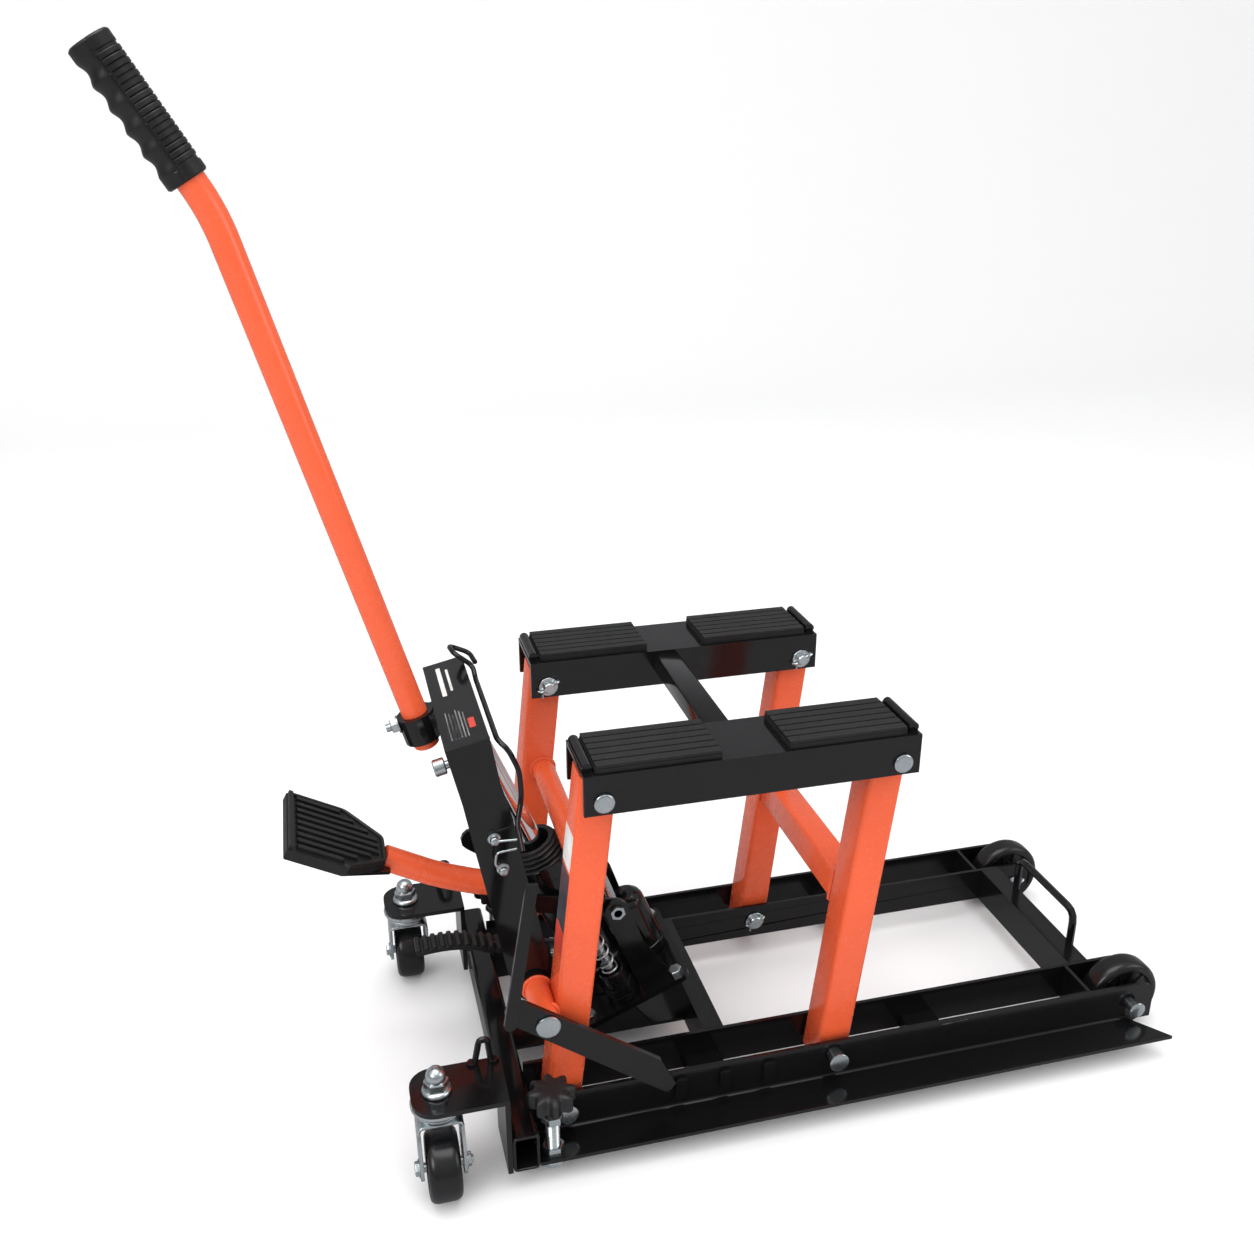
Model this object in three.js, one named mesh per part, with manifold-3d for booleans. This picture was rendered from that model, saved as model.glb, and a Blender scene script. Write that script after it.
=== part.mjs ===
// Foot-pumped parallelogram lift jack: wheeled base, four parallel arms, two padded beams.
// Millimetres, +Z up. X runs from the handle end to the fixed wheels, -Y is the operator's right.
import * as THREE from 'three';
import { mergeVertices } from 'three/addons/utils/BufferGeometryUtils.js';
import Module from 'manifold-3d';

const wasm = await Module();
wasm.setup();

// ---- driving dimensions -------------------------------------------------------------------
const CENTRE_X = 359.36;         // moves the finished object so its box is centred on X = 0
const FLOOR_Z = 7;               // drawing height of the floor
const GAP = 0.3;                 // running gap between touching pieces
const WALL = 4;                  // plate thickness of rails, beams and yoke

const REAR_PIVOT = [181, 57];    // lower pivot of the rear arms (x, z)
const WHEELBASE_ARMS = 287;      // distance from rear arms to front arms
const ARM_LENGTH = 350;          // pin to pin
const ARM_LEAN = 6.4;            // degrees, towards the front when raised
const ARM_X = 35;                // arm tube section along X
const ARM_Y0 = 104;              // arm tube inner face
const ARM_Y1 = 142;              // arm tube outer face

const RAIL_IN = 97;              // inner rail wall, inner face
const RAIL_OUT = 147;            // outer rail wall, inner face
const RAIL_TOP = 77;
const RAIL_X0 = 147.3;
const RAIL_X1 = 847;
const FLANGE_Y = 191;            // half width over the floor flanges
const FLANGE_Z = 31;

const TUBE_X0 = 121;             // rear cross tube
const TUBE_X1 = 147;
const TUBE_Z0 = 29;
const TUBE_Z1 = 70;

const BEAM_X0 = 202;             // platform beams
const BEAM_X1 = 525;
const BEAM_Y0 = 89;
const BEAM_Y1 = 164;
const BEAM_TOP = 432;
const BEAM_H = 40;
const PAD_H = 7.7;

const WHEEL_X = 822;             // fixed wheels
const WHEEL_R = 43;
const WHEEL_Z = FLOOR_Z + WHEEL_R;
const WHEEL_Y = 124;
const WHEEL_W = 28;

const CASTER_X = 56;             // swivel casters
const CASTER_Y = 160;
const CASTER_R = 34;
const CASTER_TRAIL = 14;
const CASTER_H = 105;            // floor to the underside of the bracket
const BRACKET_Z = FLOOR_Z + CASTER_H;

const STUB_R = 12.5;             // stub tubes that carry the yoke and the lock bars
const YOKE_Y = 96.5;             // yoke side plates, outer face
const UNIT_PIVOT = [265, 72];    // foot of the hydraulic unit
const UNIT_LEAN = 22.55;         // degrees, towards the handle
const RAM_LENGTH = 375;          // unit pivot to ram pin when raised
const GLAND = 200;               // height of the cylinder mouth above the unit pivot
const CYL_R = 28;
const BORE_R = 19;
const ROD_R = 12;
const FULCRUM = [261.5, 200.5];  // pump lever fulcrum

const SOCKET = [76, 421];        // handle socket
const HANDLE_LEAN = 15.6;
const HANDLE_R = 12.5;
const GRIP_LEAN = 30.5;

const KNOB_X = 162;
const KNOB_Y = 178;

const rad = (d) => (d * Math.PI) / 180;
const ARM_DIR = [Math.sin(rad(ARM_LEAN)), Math.cos(rad(ARM_LEAN))];
const FRONT_PIVOT = [REAR_PIVOT[0] + WHEELBASE_ARMS, REAR_PIVOT[1]];
const onArm = (t, n) => [
  REAR_PIVOT[0] + t * ARM_DIR[0] + n * ARM_DIR[1],
  REAR_PIVOT[1] + t * ARM_DIR[1] - n * ARM_DIR[0],
];
const STUB = onArm(110, -29.4);  // axis of the stub tubes
const REAR_TOP = onArm(ARM_LENGTH, 0);
const FRONT_TOP = [REAR_TOP[0] + WHEELBASE_ARMS, REAR_TOP[1]];
const UNIT_UP = [-Math.sin(rad(UNIT_LEAN)), Math.cos(rad(UNIT_LEAN))];
const onUnit = (s, n) => [
  UNIT_PIVOT[0] + s * UNIT_UP[0] + n * UNIT_UP[1],
  UNIT_PIVOT[1] + s * UNIT_UP[1] - n * UNIT_UP[0],
];
const RAM_PIN = onUnit(RAM_LENGTH, 0);

// ---- solids -------------------------------------------------------------------------------
function solid(geometry) {
  const g = geometry.index ? geometry.toNonIndexed() : geometry;
  g.deleteAttribute('normal');
  g.deleteAttribute('uv');
  const m = mergeVertices(g, 1e-4);
  return new wasm.Manifold(new wasm.Mesh({
    numProp: 3,
    vertProperties: new Float32Array(m.attributes.position.array),
    triVerts: new Uint32Array(m.index.array),
  }));
}

const union = (...list) => list.reduce((a, b) => a.add(b));
const cut = (body, ...list) => list.reduce((a, b) => a.subtract(b), body);

function box(x0, x1, y0, y1, z0, z1) {
  const g = new THREE.BoxGeometry(x1 - x0, y1 - y0, z1 - z0);
  g.translate((x0 + x1) / 2, (y0 + y1) / 2, (z0 + z1) / 2);
  return solid(g);
}

// round bar between two points
function bar(a, b, r, r2 = r, seg = 12) {
  const p = new THREE.Vector3(...a);
  const q = new THREE.Vector3(...b);
  const d = q.clone().sub(p);
  const g = new THREE.CylinderGeometry(r2, r, d.length(), seg);
  g.applyQuaternion(new THREE.Quaternion().setFromUnitVectors(
    new THREE.Vector3(0, 1, 0), d.clone().normalize()));
  g.translate(...p.clone().add(q).multiplyScalar(0.5).toArray());
  return solid(g);
}

const barY = ([x, z], r, y0, y1, seg) => bar([x, y0, z], [x, y1, z], r, r, seg);
const barZ = (x, y, r, z0, z1, seg) => bar([x, y, z0], [x, y, z1], r, r, seg);

function shapeOf(points) {
  return new THREE.Shape(points.map(([u, v]) => new THREE.Vector2(u, v)));
}

function plateY(points, y0, y1) {      // outline in X, Z
  const g = new THREE.ExtrudeGeometry(shapeOf(points), { depth: y1 - y0, bevelEnabled: false });
  g.rotateX(Math.PI / 2);
  g.translate(0, y1, 0);
  return solid(g);
}

function plateZ(points, z0, z1) {      // outline in X, Y
  const g = new THREE.ExtrudeGeometry(shapeOf(points), { depth: z1 - z0, bevelEnabled: false });
  g.translate(0, 0, z0);
  return solid(g);
}

function plateX(points, x0, x1) {      // outline in Y, Z
  const g = new THREE.ExtrudeGeometry(shapeOf(points), { depth: x1 - x0, bevelEnabled: false });
  g.applyMatrix4(new THREE.Matrix4().makeBasis(
    new THREE.Vector3(0, 1, 0), new THREE.Vector3(0, 0, 1), new THREE.Vector3(1, 0, 0)));
  g.translate(x0, 0, 0);
  return solid(g);
}

function arc(cx, cy, r, a0, a1, n = 8) {
  const out = [];
  for (let i = 0; i <= n; i += 1) {
    const a = rad(a0 + ((a1 - a0) * i) / n);
    out.push([cx + r * Math.cos(a), cy + r * Math.sin(a)]);
  }
  return out;
}

function roundedRect(x0, x1, y0, y1, r, n = 4) {
  return [
    ...arc(x1 - r, y0 + r, r, -90, 0, n),
    ...arc(x1 - r, y1 - r, r, 0, 90, n),
    ...arc(x0 + r, y1 - r, r, 90, 180, n),
    ...arc(x0 + r, y0 + r, r, 180, 270, n),
  ];
}

// solid of revolution about Z, profile of [radius, z] closed on itself
function turned(profile, seg = 20) {
  const pts = profile.map(([r, z]) => new THREE.Vector2(r, z));
  pts.push(pts[0].clone());
  const g = new THREE.LatheGeometry(pts, seg);
  g.rotateX(Math.PI / 2);
  const m = solid(g);
  return m;
}

// bent rod through points, with rounded corners
function bentRod(points, r, bend = 8, seg = 8) {
  const v = points.map((p) => new THREE.Vector3(...p));
  const path = [v[0].clone()];
  for (let i = 1; i < v.length - 1; i += 1) {
    const a = v[i - 1].clone().sub(v[i]);
    const b = v[i + 1].clone().sub(v[i]);
    const k = Math.min(bend, a.length() * 0.45, b.length() * 0.45);
    const p = v[i].clone().add(a.normalize().multiplyScalar(k));
    const q = v[i].clone().add(b.normalize().multiplyScalar(k));
    const c = new THREE.QuadraticBezierCurve3(p, v[i], q);
    path.push(...c.getPoints(3));
  }
  path.push(v[v.length - 1].clone());
  const curve = new THREE.CurvePath();
  for (let i = 0; i < path.length - 1; i += 1) {
    curve.add(new THREE.LineCurve3(path[i], path[i + 1]));
  }
  const rings = [];
  const n = path.length;
  let side = null;
  for (let i = 0; i < n; i += 1) {
    const t = path[Math.min(i + 1, n - 1)].clone().sub(path[Math.max(i - 1, 0)]).normalize();
    if (!side) {
      side = new THREE.Vector3(0, 0, 1).cross(t);
      if (side.length() < 0.1) side = new THREE.Vector3(1, 0, 0).cross(t);
    }
    side.sub(t.clone().multiplyScalar(side.dot(t))).normalize();
    const up = t.clone().cross(side);
    const ring = [];
    for (let k = 0; k < seg; k += 1) {
      const a = (2 * Math.PI * k) / seg;
      ring.push(path[i].clone()
        .add(side.clone().multiplyScalar(r * Math.cos(a)))
        .add(up.clone().multiplyScalar(r * Math.sin(a))));
    }
    rings.push(ring);
  }
  const pos = [];
  const put = (...list) => list.forEach((p) => pos.push(p.x, p.y, p.z));
  for (let i = 0; i < n - 1; i += 1) {
    for (let k = 0; k < seg; k += 1) {
      const m = (k + 1) % seg;
      put(rings[i][k], rings[i][m], rings[i + 1][m]);
      put(rings[i][k], rings[i + 1][m], rings[i + 1][k]);
    }
  }
  for (let k = 0; k < seg; k += 1) {
    const m = (k + 1) % seg;
    put(path[0], rings[0][m], rings[0][k]);
    put(path[n - 1], rings[n - 1][k], rings[n - 1][m]);
  }
  const g = new THREE.BufferGeometry();
  g.setAttribute('position', new THREE.Float32BufferAttribute(pos, 3));
  return solid(g);
}

// turn a solid about a Y axis through (x, z); positive leans the top towards +X
function leaned(body, [x, z], degrees) {
  return body.translate([-x, 0, -z]).rotate([0, degrees, 0]).translate([x, 0, z]);
}

const mirrored = (body) => body.mirror([0, 1, 0]);

// ---- materials and the group ----------------------------------------------------------------
const looks = {
  black: { color: 0x1b1c1e, metalness: 0.5, roughness: 0.35 },
  orange: { color: 0xee6b45, metalness: 0.3, roughness: 0.4 },
  zinc: { color: 0xb9bdc0, metalness: 0.9, roughness: 0.3 },
  chrome: { color: 0xdadcde, metalness: 1, roughness: 0.1 },
  rubber: { color: 0x222324, metalness: 0, roughness: 0.85 },
  plastic: { color: 0x191a1b, metalness: 0, roughness: 0.5 },
};

const object = new THREE.Group();
object.name = 'lift_jack';

function put(name, body, look) {
  const out = body.translate([-CENTRE_X, 0, -FLOOR_Z]).getMesh();
  const g = new THREE.BufferGeometry();
  g.setAttribute('position', new THREE.Float32BufferAttribute(out.vertProperties, 3));
  g.setIndex(new THREE.Uint32BufferAttribute(out.triVerts, 1));
  const mesh = new THREE.Mesh(g, new THREE.MeshStandardMaterial(looks[look]));
  mesh.name = name;
  object.add(mesh);
}

function putBoth(name, body, look) {   // body is drawn on the +Y side
  put(`${name}_left`, body, look);
  put(`${name}_right`, mirrored(body), look);
}

// ---- base frame -----------------------------------------------------------------------------
function outerRail() {
  const wall = plateY([
    [RAIL_X0, FLANGE_Z], [RAIL_X1, FLANGE_Z],
    ...arc(RAIL_X1 - 16, RAIL_TOP - 16, 16, 0, 90, 5),
    [RAIL_X0, RAIL_TOP],
  ], RAIL_OUT, RAIL_OUT + WALL);
  const flange = plateZ([
    [RAIL_X0, RAIL_OUT + 1], [RAIL_X1 - 34, RAIL_OUT + 1], [RAIL_X1, FLANGE_Y], [RAIL_X0, FLANGE_Y],
  ], FLANGE_Z, FLANGE_Z + WALL);
  const lugs = [299, 346, 393].map((x) => plateY(
    roundedRect(x - 6, x + 6, 44, 70, 3, 3), RAIL_OUT + WALL - 1, RAIL_OUT + WALL + 3.2));
  return cut(union(wall, flange, ...lugs),
    barY(REAR_PIVOT, 8.3, RAIL_OUT - 2, RAIL_OUT + WALL + 2),
    barY(FRONT_PIVOT, 8.3, RAIL_OUT - 2, RAIL_OUT + WALL + 2),
    barY([WHEEL_X, WHEEL_Z], 6.3, RAIL_OUT - 2, RAIL_OUT + WALL + 2),
    barZ(KNOB_X, KNOB_Y, 7.5, FLANGE_Z - 2, FLANGE_Z + WALL + 2));
}

function innerRail() {
  const wall = plateY([
    [RAIL_X0, FLANGE_Z + 4], [RAIL_X1 - 6, FLANGE_Z + 4],
    ...arc(RAIL_X1 - 22, RAIL_TOP - 16, 16, 0, 90, 5),
    [RAIL_X0, RAIL_TOP],
  ], RAIL_IN, RAIL_IN + WALL);
  const across = (x0, x1, z0, z1) => box(x0, x1, RAIL_IN + 1, RAIL_OUT - GAP, z0, z1);
  const bridge = (x) => union(across(x, x + 38, 46, 50), across(x, x + WALL, FLANGE_Z + 4, 50));
  return cut(union(wall, bridge(318), bridge(566), across(765, 769, FLANGE_Z + 4, RAIL_TOP)),
    barY(REAR_PIVOT, 8.3, RAIL_IN - 2, RAIL_IN + WALL + 2),
    barY(FRONT_PIVOT, 8.3, RAIL_IN - 2, RAIL_IN + WALL + 2),
    barY([WHEEL_X, WHEEL_Z], 6.3, RAIL_IN - 2, RAIL_IN + WALL + 2));
}

putBoth('rail_outer', outerRail(), 'black');
putBoth('rail_inner', innerRail(), 'black');

put('rear_tube', cut(
  plateY(roundedRect(TUBE_X0, TUBE_X1, TUBE_Z0, TUBE_Z1, 4), -FLANGE_Y, FLANGE_Y),
  plateY(roundedRect(TUBE_X0 + 3, TUBE_X1 - 3, TUBE_Z0 + 3, TUBE_Z1 - 3, 2), -FLANGE_Y - 1, FLANGE_Y + 1),
), 'black');

function midCrossMember() {
  const w = RAIL_IN - GAP;
  const web = box(340, 344, -w, w, 35, RAIL_TOP);
  const top = box(340, 362, -w, w, RAIL_TOP - WALL, RAIL_TOP);
  const floor = box(TUBE_X1 + GAP, 341, -31, 31, 36, 40);
  const ear = plateY([
    [225, 36], [305, 36], ...arc(...UNIT_PIVOT, 13, 0, 180, 8),
  ], 26, 31);
  const ears = union(ear, mirrored(ear));
  return cut(union(web, top, floor, ears), barY(UNIT_PIVOT, 6.3, -40, 40));
}
put('mid_cross_member', midCrossMember(), 'black');

function frontCrossMember() {
  const w = RAIL_IN - GAP;
  const shell = box(773, 797, -w, w, 35, RAIL_TOP);
  const hollow = box(776, 794, -w - 1, w + 1, 30, RAIL_TOP - 3);
  const loop = bentRod([[800.5, -58, 46], [800.5, -58, 114], [800.5, 58, 114], [800.5, 58, 46]], 4.5, 14);
  return union(cut(shell, hollow), loop);
}
put('front_cross_member', frontCrossMember(), 'black');

function casterBracket(loopSide) {
  const y0 = CASTER_Y - 32;
  const y1 = CASTER_Y + 31;
  const plate = cut(
    plateZ([[TUBE_X0 - GAP, y0], [TUBE_X0 - GAP, y1], ...arc(53, y1 - 22, 22, 90, 180, 6),
      ...arc(53, y0 + 22, 22, 180, 270, 6)].reverse(), BRACKET_Z, BRACKET_Z + 5),
    barZ(CASTER_X, CASTER_Y, 6.5, BRACKET_Z - 2, BRACKET_Z + 8));
  const drop = box(TUBE_X0 - GAP - 5, TUBE_X0 - GAP, y0, y1, TUBE_Z0, BRACKET_Z + 5);
  const y = loopSide > 0 ? y1 - 5 : y0 + 5;
  const loopTop = BRACKET_Z + 32;
  const loop = bentRod([
    [95, y, BRACKET_Z + 2], [101, y, loopTop], [109, y, loopTop], [112, y, BRACKET_Z + 2],
  ], 3.2, 7);
  return union(plate, drop, loop);
}
put('caster_bracket_left', casterBracket(1), 'black');
put('caster_bracket_right', mirrored(casterBracket(-1)), 'black');

// pivot pins: shaft with a head outside and a washer inside
function pin([x, z], r, head, yIn, yOut, headLength) {
  return union(
    barY([x, z], r, yIn, yOut + 1),
    barY([x, z], head, yOut, yOut + headLength));
}
const lowerPin = (p) => union(
  pin(p, 8, 10.5, RAIL_IN - 7, RAIL_OUT + WALL + 7.5, 3));
putBoth('rear_lower_pin', lowerPin(REAR_PIVOT), 'zinc');
putBoth('front_lower_pin', lowerPin(FRONT_PIVOT), 'zinc');
putBoth('wheel_axle', union(
  pin([WHEEL_X, WHEEL_Z], 6, 9.5, RAIL_IN - 7, RAIL_OUT + WALL + 8, 3),
  barY([WHEEL_X, WHEEL_Z], 9, RAIL_IN - 5, RAIL_IN - GAP)), 'zinc');

// fixed wheel: moulded tread with a raised hub
function wheel(r, w, bore, hub) {
  const h = w / 2;
  return cut(turned([
    [bore, -h], [hub, -h], [hub + 2, -h + 4], [r - 8, -h + 4], [r - 6, -h + 1], [r - 2, -h + 2],
    [r, -h + 5], [r, h - 5], [r - 2, h - 2], [r - 6, h - 1], [r - 8, h - 4], [hub + 2, h - 4],
    [hub, h], [bore, h],
  ], 20));
}
putBoth('front_wheel',
  wheel(WHEEL_R, WHEEL_W, 6.3, 16).rotate([90, 0, 0]).translate([WHEEL_X, WHEEL_Y, WHEEL_Z]), 'rubber');

// ---- casters --------------------------------------------------------------------------------
const AXLE_Y = CASTER_Y + CASTER_TRAIL;
function casterFork() {
  const leg = plateX([
    [CASTER_Y - 19, 84], [CASTER_Y - 17, 66],
    ...arc(AXLE_Y, CASTER_R, 11, 200, 360, 6), [CASTER_Y + 23, 66], [CASTER_Y + 19, 84],
  ], CASTER_X + 18.5, CASTER_X + 22.5);
  const legs = union(leg, leg.translate([-41, 0, 0]));
  const crown = box(CASTER_X - 22.5, CASTER_X + 22.5, CASTER_Y - 19, CASTER_Y + 19, 80, 84);
  const race = union(
    barZ(CASTER_X, CASTER_Y, 21, 83, 93, 18),
    barZ(CASTER_X, CASTER_Y, 24, 90, 100, 18),
    barZ(CASTER_X, CASTER_Y, 19, 99, CASTER_H - GAP, 18));
  const stem = barZ(CASTER_X, CASTER_Y, 6, 100, 130);
  const nut = union(
    bar([CASTER_X, CASTER_Y, CASTER_H + 5 + GAP], [CASTER_X, CASTER_Y, 128], 12, 12, 6),
    bar([CASTER_X, CASTER_Y, 127], [CASTER_X, CASTER_Y, 137], 9.5, 7, 20),
    bar([CASTER_X, CASTER_Y, 136.5], [CASTER_X, CASTER_Y, 140.5], 7, 3.5, 20));
  const axle = bar([CASTER_X - 27.5, AXLE_Y, CASTER_R], [CASTER_X + 27.5, AXLE_Y, CASTER_R], 5);
  const heads = union(
    bar([CASTER_X - 26.5, AXLE_Y, CASTER_R], [CASTER_X - 22, AXLE_Y, CASTER_R], 8, 8, 6),
    bar([CASTER_X + 22, AXLE_Y, CASTER_R], [CASTER_X + 26.5, AXLE_Y, CASTER_R], 8, 8, 6));
  return union(legs, crown, race, stem, nut, axle, heads).translate([0, 0, FLOOR_Z]);
}
putBoth('caster_fork', casterFork(), 'zinc');
putBoth('caster_wheel',
  wheel(CASTER_R, 32, 5.3, 11).rotate([0, 90, 0]).translate([CASTER_X, AXLE_Y, FLOOR_Z + CASTER_R]), 'plastic');

// ---- floor screws ---------------------------------------------------------------------------
function floorScrew() {
  const screw = union(
    barZ(KNOB_X, KNOB_Y, 7, 26, 96),
    barZ(KNOB_X, KNOB_Y, 12, 23.5, 29.5));
  const lobes = [];
  for (let i = 0; i < 8; i += 1) {
    const a = rad(45 * i);
    lobes.push(barZ(KNOB_X + 17.5 * Math.cos(a), KNOB_Y + 17.5 * Math.sin(a), 6.5, 94, 110, 10));
  }
  return union(screw, barZ(KNOB_X, KNOB_Y, 18, 92, 111, 18), ...lobes,
    bar([KNOB_X, KNOB_Y, 80], [KNOB_X, KNOB_Y, 93], 9, 16, 18));
}
putBoth('floor_screw', floorScrew(), 'plastic');

// ---- arms -----------------------------------------------------------------------------------
function arm(foot) {
  const [x, z] = foot;
  const h = ARM_X / 2;
  const tube = cut(
    plateY([[x - h, z - 14], [x + h, z - 14], [x + h, z + ARM_LENGTH + 12], [x - h, z + ARM_LENGTH + 12]],
      ARM_Y0, ARM_Y1),
    box(x - h + 3, x + h - 3, ARM_Y0 + 3, ARM_Y1 - 3, z - 20, z + ARM_LENGTH + 20),
    barY([x, z], 8.3, ARM_Y0 - 2, ARM_Y1 + 2),
    barY([x, z + ARM_LENGTH], 6.3, ARM_Y0 - 2, ARM_Y1 + 2));
  return leaned(tube, foot, ARM_LEAN);
}

const stub = cut(barY(STUB, STUB_R, YOKE_Y - 7, 153, 18), barY(STUB, 8.3, YOKE_Y - 9, 155));
putBoth('rear_arm', union(arm(REAR_PIVOT), stub), 'orange');
putBoth('front_arm', arm(FRONT_PIVOT), 'orange');

const upperCross = onArm(244, 6);
put('rear_cross_tube', cut(
  barY(upperCross, 12.5, -ARM_Y0 + GAP, ARM_Y0 - GAP, 18),
  barY(upperCross, 9.5, -ARM_Y0 - 1, ARM_Y0 + 1, 18)), 'orange');

function frontBrace() {
  const [x, z] = [FRONT_PIVOT[0], FRONT_PIVOT[1] + 179];
  const w = ARM_Y0 - GAP;
  const shell = cut(box(x - 16, x + 16, -w, w, z - 16, z + 16),
    box(x - 13, x + 13, -w - 1, w + 1, z - 13, z + 13));
  return leaned(shell, FRONT_PIVOT, ARM_LEAN);
}
put('front_brace', frontBrace(), 'orange');

// ---- platform -------------------------------------------------------------------------------
function beam() {
  const side = (y) => box(BEAM_X0, BEAM_X1, y, y + WALL, BEAM_TOP - BEAM_H, BEAM_TOP);
  const top = box(BEAM_X0, BEAM_X1, BEAM_Y0, BEAM_Y1, BEAM_TOP - WALL, BEAM_TOP);
  const stop = (x) => barY([x, BEAM_TOP + 4], 5, BEAM_Y0 + 9, BEAM_Y1 - 8, 20);
  const bores = [REAR_TOP, FRONT_TOP].map((p) => barY(p, 6.3, BEAM_Y0 - 2, BEAM_Y1 + 2));
  return cut(union(side(BEAM_Y0), side(BEAM_Y1 - WALL), top, stop(BEAM_X0 + 5), stop(BEAM_X1 - 5)),
    ...bores);
}
putBoth('beam', beam(), 'black');

const upperPin = (p) => union(
  pin(p, 6, 9, BEAM_Y0 - 8, BEAM_Y1 + GAP, 3.5),
  barY(p, 9, BEAM_Y0 - 3, BEAM_Y0 - GAP));
putBoth('rear_upper_pin', upperPin(REAR_TOP), 'zinc');
putBoth('front_upper_pin', upperPin(FRONT_TOP), 'zinc');

put('platform_bar', cut(
  box(337, 363, -BEAM_Y0 + GAP, BEAM_Y0 - GAP, 408, 430),
  box(340, 360, -BEAM_Y0 - 1, BEAM_Y0 + 1, 411, 427)), 'black');

function pad(x0, x1) {
  const base = plateZ(roundedRect(x0, x1, BEAM_Y0 + 4, BEAM_Y1 - 3, 3, 3),
    BEAM_TOP + GAP, BEAM_TOP + GAP + 4);
  const ribs = [];
  for (let i = 0; i < 6; i += 1) {
    const y = BEAM_Y0 + 5 + i * 11.3;
    ribs.push(box(x0 + 1, x1 - 1, y, y + 9.5, BEAM_TOP + 4, BEAM_TOP + PAD_H));
  }
  return union(base, ...ribs);
}
putBoth('rear_pad', pad(213, 331), 'rubber');
putBoth('front_pad', pad(394, 512), 'rubber');

// ---- yoke, handle ---------------------------------------------------------------------------
function yoke() {
  const outline = [
    [90, 438], [102, 387], [111, 336], [121, 283], [137, 190],
    ...arc(STUB[0], STUB[1], 20, 175, 370, 12),
    [165, 268], [156, 313], [152, 344], [146, 373], [139, 398], [131, 447],
  ];
  const side = plateY(outline, YOKE_Y - WALL, YOKE_Y);
  const collar = barY(STUB, 16, YOKE_Y - 1, YOKE_Y + 4, 18);
  const plates = union(side, collar, mirrored(side), mirrored(collar));
  const w = YOKE_Y - 1;
  const cap = plateY([[90, 438], [131, 447], [131, 442.8], [91, 434]].reverse(), -w, w);
  const front = plateY([[131, 447], [126.9, 446], [129.2, 434], [133.4, 434]].reverse(), -w, w);
  const back = plateY([[90, 438], [94.2, 438], [106.2, 381], [103, 381]], -w, w);
  const pinShaft = barY(RAM_PIN, 6, -w, w, 18);
  const h = [-Math.sin(rad(HANDLE_LEAN)), Math.cos(rad(HANDLE_LEAN))];
  const along = (s) => [SOCKET[0] + h[0] * s, 0, SOCKET[1] + h[1] * s];
  const sleeve = bar(along(-14), along(14), 18.5, 18.5, 20);
  const tie = leaned(box(SOCKET[0] + 12, SOCKET[0] + 26, -14, 14, SOCKET[1] - 12, SOCKET[1] + 12),
    SOCKET, -HANDLE_LEAN);
  const bore = bar(along(-40), along(40), HANDLE_R + GAP, HANDLE_R + GAP, 20);
  return cut(union(plates, cap, front, back, pinShaft, sleeve, tie),
    bore, barY(STUB, STUB_R + GAP, -120, 120, 18));
}
put('yoke', yoke(), 'black');

function handleCentre() {
  const h = new THREE.Vector2(-Math.sin(rad(HANDLE_LEAN)), Math.cos(rad(HANDLE_LEAN)));
  const g = new THREE.Vector2(-Math.sin(rad(GRIP_LEAN)), Math.cos(rad(GRIP_LEAN)));
  const at = (p, d, s) => new THREE.Vector2(p.x + d.x * s, p.y + d.y * s);
  const start = new THREE.Vector2(...SOCKET);
  const bend = at(start, h, 492);
  return { low: at(start, h, -22), bend, gripLow: at(bend, g, 28), end: at(bend, g, 145), g };
}
const HANDLE = handleCentre();

function handleTube() {
  const { low, bend, end, g } = HANDLE;
  const tip = new THREE.Vector2(end.x - g.x * 8, end.y - g.y * 8);
  const body = (r) => bentRod([[low.x, 0, low.y], [bend.x, 0, bend.y], [tip.x, 0, tip.y]], r, 24, 18);
  const bolt = bar([low.x, 0, low.y], [low.x - 2 * g.x, 0, low.y + 2 * g.y], 4);
  return union(body(HANDLE_R), bolt);
}
put('handle_tube', handleTube(), 'orange');

function handleGrip() {
  const { gripLow, end, g } = HANDLE;
  const length = gripLow.distanceTo(end);
  const core = turned([[0, 0], [16.3, 0], [16.3, 14], [15.4, 18], [15.4, length - 16], [16.3, length - 12],
    [16.3, length], [0, length]], 20);
  const back = [[-19, 0], [-19, 12]];
  for (let i = 0; i < 5; i += 1) {
    back.push(...arc(-24.2, 22.5 + i * 18, 10, -50, 50, 5));
  }
  back.push([-19, length - 10], [-19, length], [-2, length], [-2, 0]);
  const spine = plateY(back.reverse(), -9, 9);
  const bore = bar([0, 0, -5], [0, 0, length - 8 + 0.5], HANDLE_R + GAP, HANDLE_R + GAP, 20);
  const whole = cut(union(core, spine), bore);
  return whole.rotate([0, -GRIP_LEAN, 0]).translate([gripLow.x, 0, gripLow.y]);
}
put('handle_grip', handleGrip(), 'rubber');

// ---- hydraulic unit -------------------------------------------------------------------------
const standing = (body) => leaned(body, UNIT_PIVOT, -UNIT_LEAN);  // drawn upright over its pivot
const [UX, UZ] = UNIT_PIVOT;

function unitBase() {
  const boss = cut(
    union(barY(UNIT_PIVOT, 13, -25, 25, 20), box(UX - 11, UX + 11, -25, 25, UZ, UZ + 17)));
  const plate = plateZ(roundedRect(UX - 42, UX + 84, -64, 64, 10, 3), UZ + 16, UZ + 22);
  const cheek = plateY([
    [UX + 31, UZ + 21], [UX + 66, UZ + 21], [UX + 56, UZ + 70],
    ...arc(UX + 46, UZ + 120, 13, 0, 180, 8), [UX + 31, UZ + 70],
  ], 38, 42);
  const cheeks = union(cheek, mirrored(cheek));
  const shaft = barY(UNIT_PIVOT, 6, -36, 36);
  return standing(cut(union(boss, plate, cheeks, shaft),
    barY([UX + 46, UZ + 120], 5.3, -50, 50)));
}
put('unit_base', unitBase(), 'black');

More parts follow.
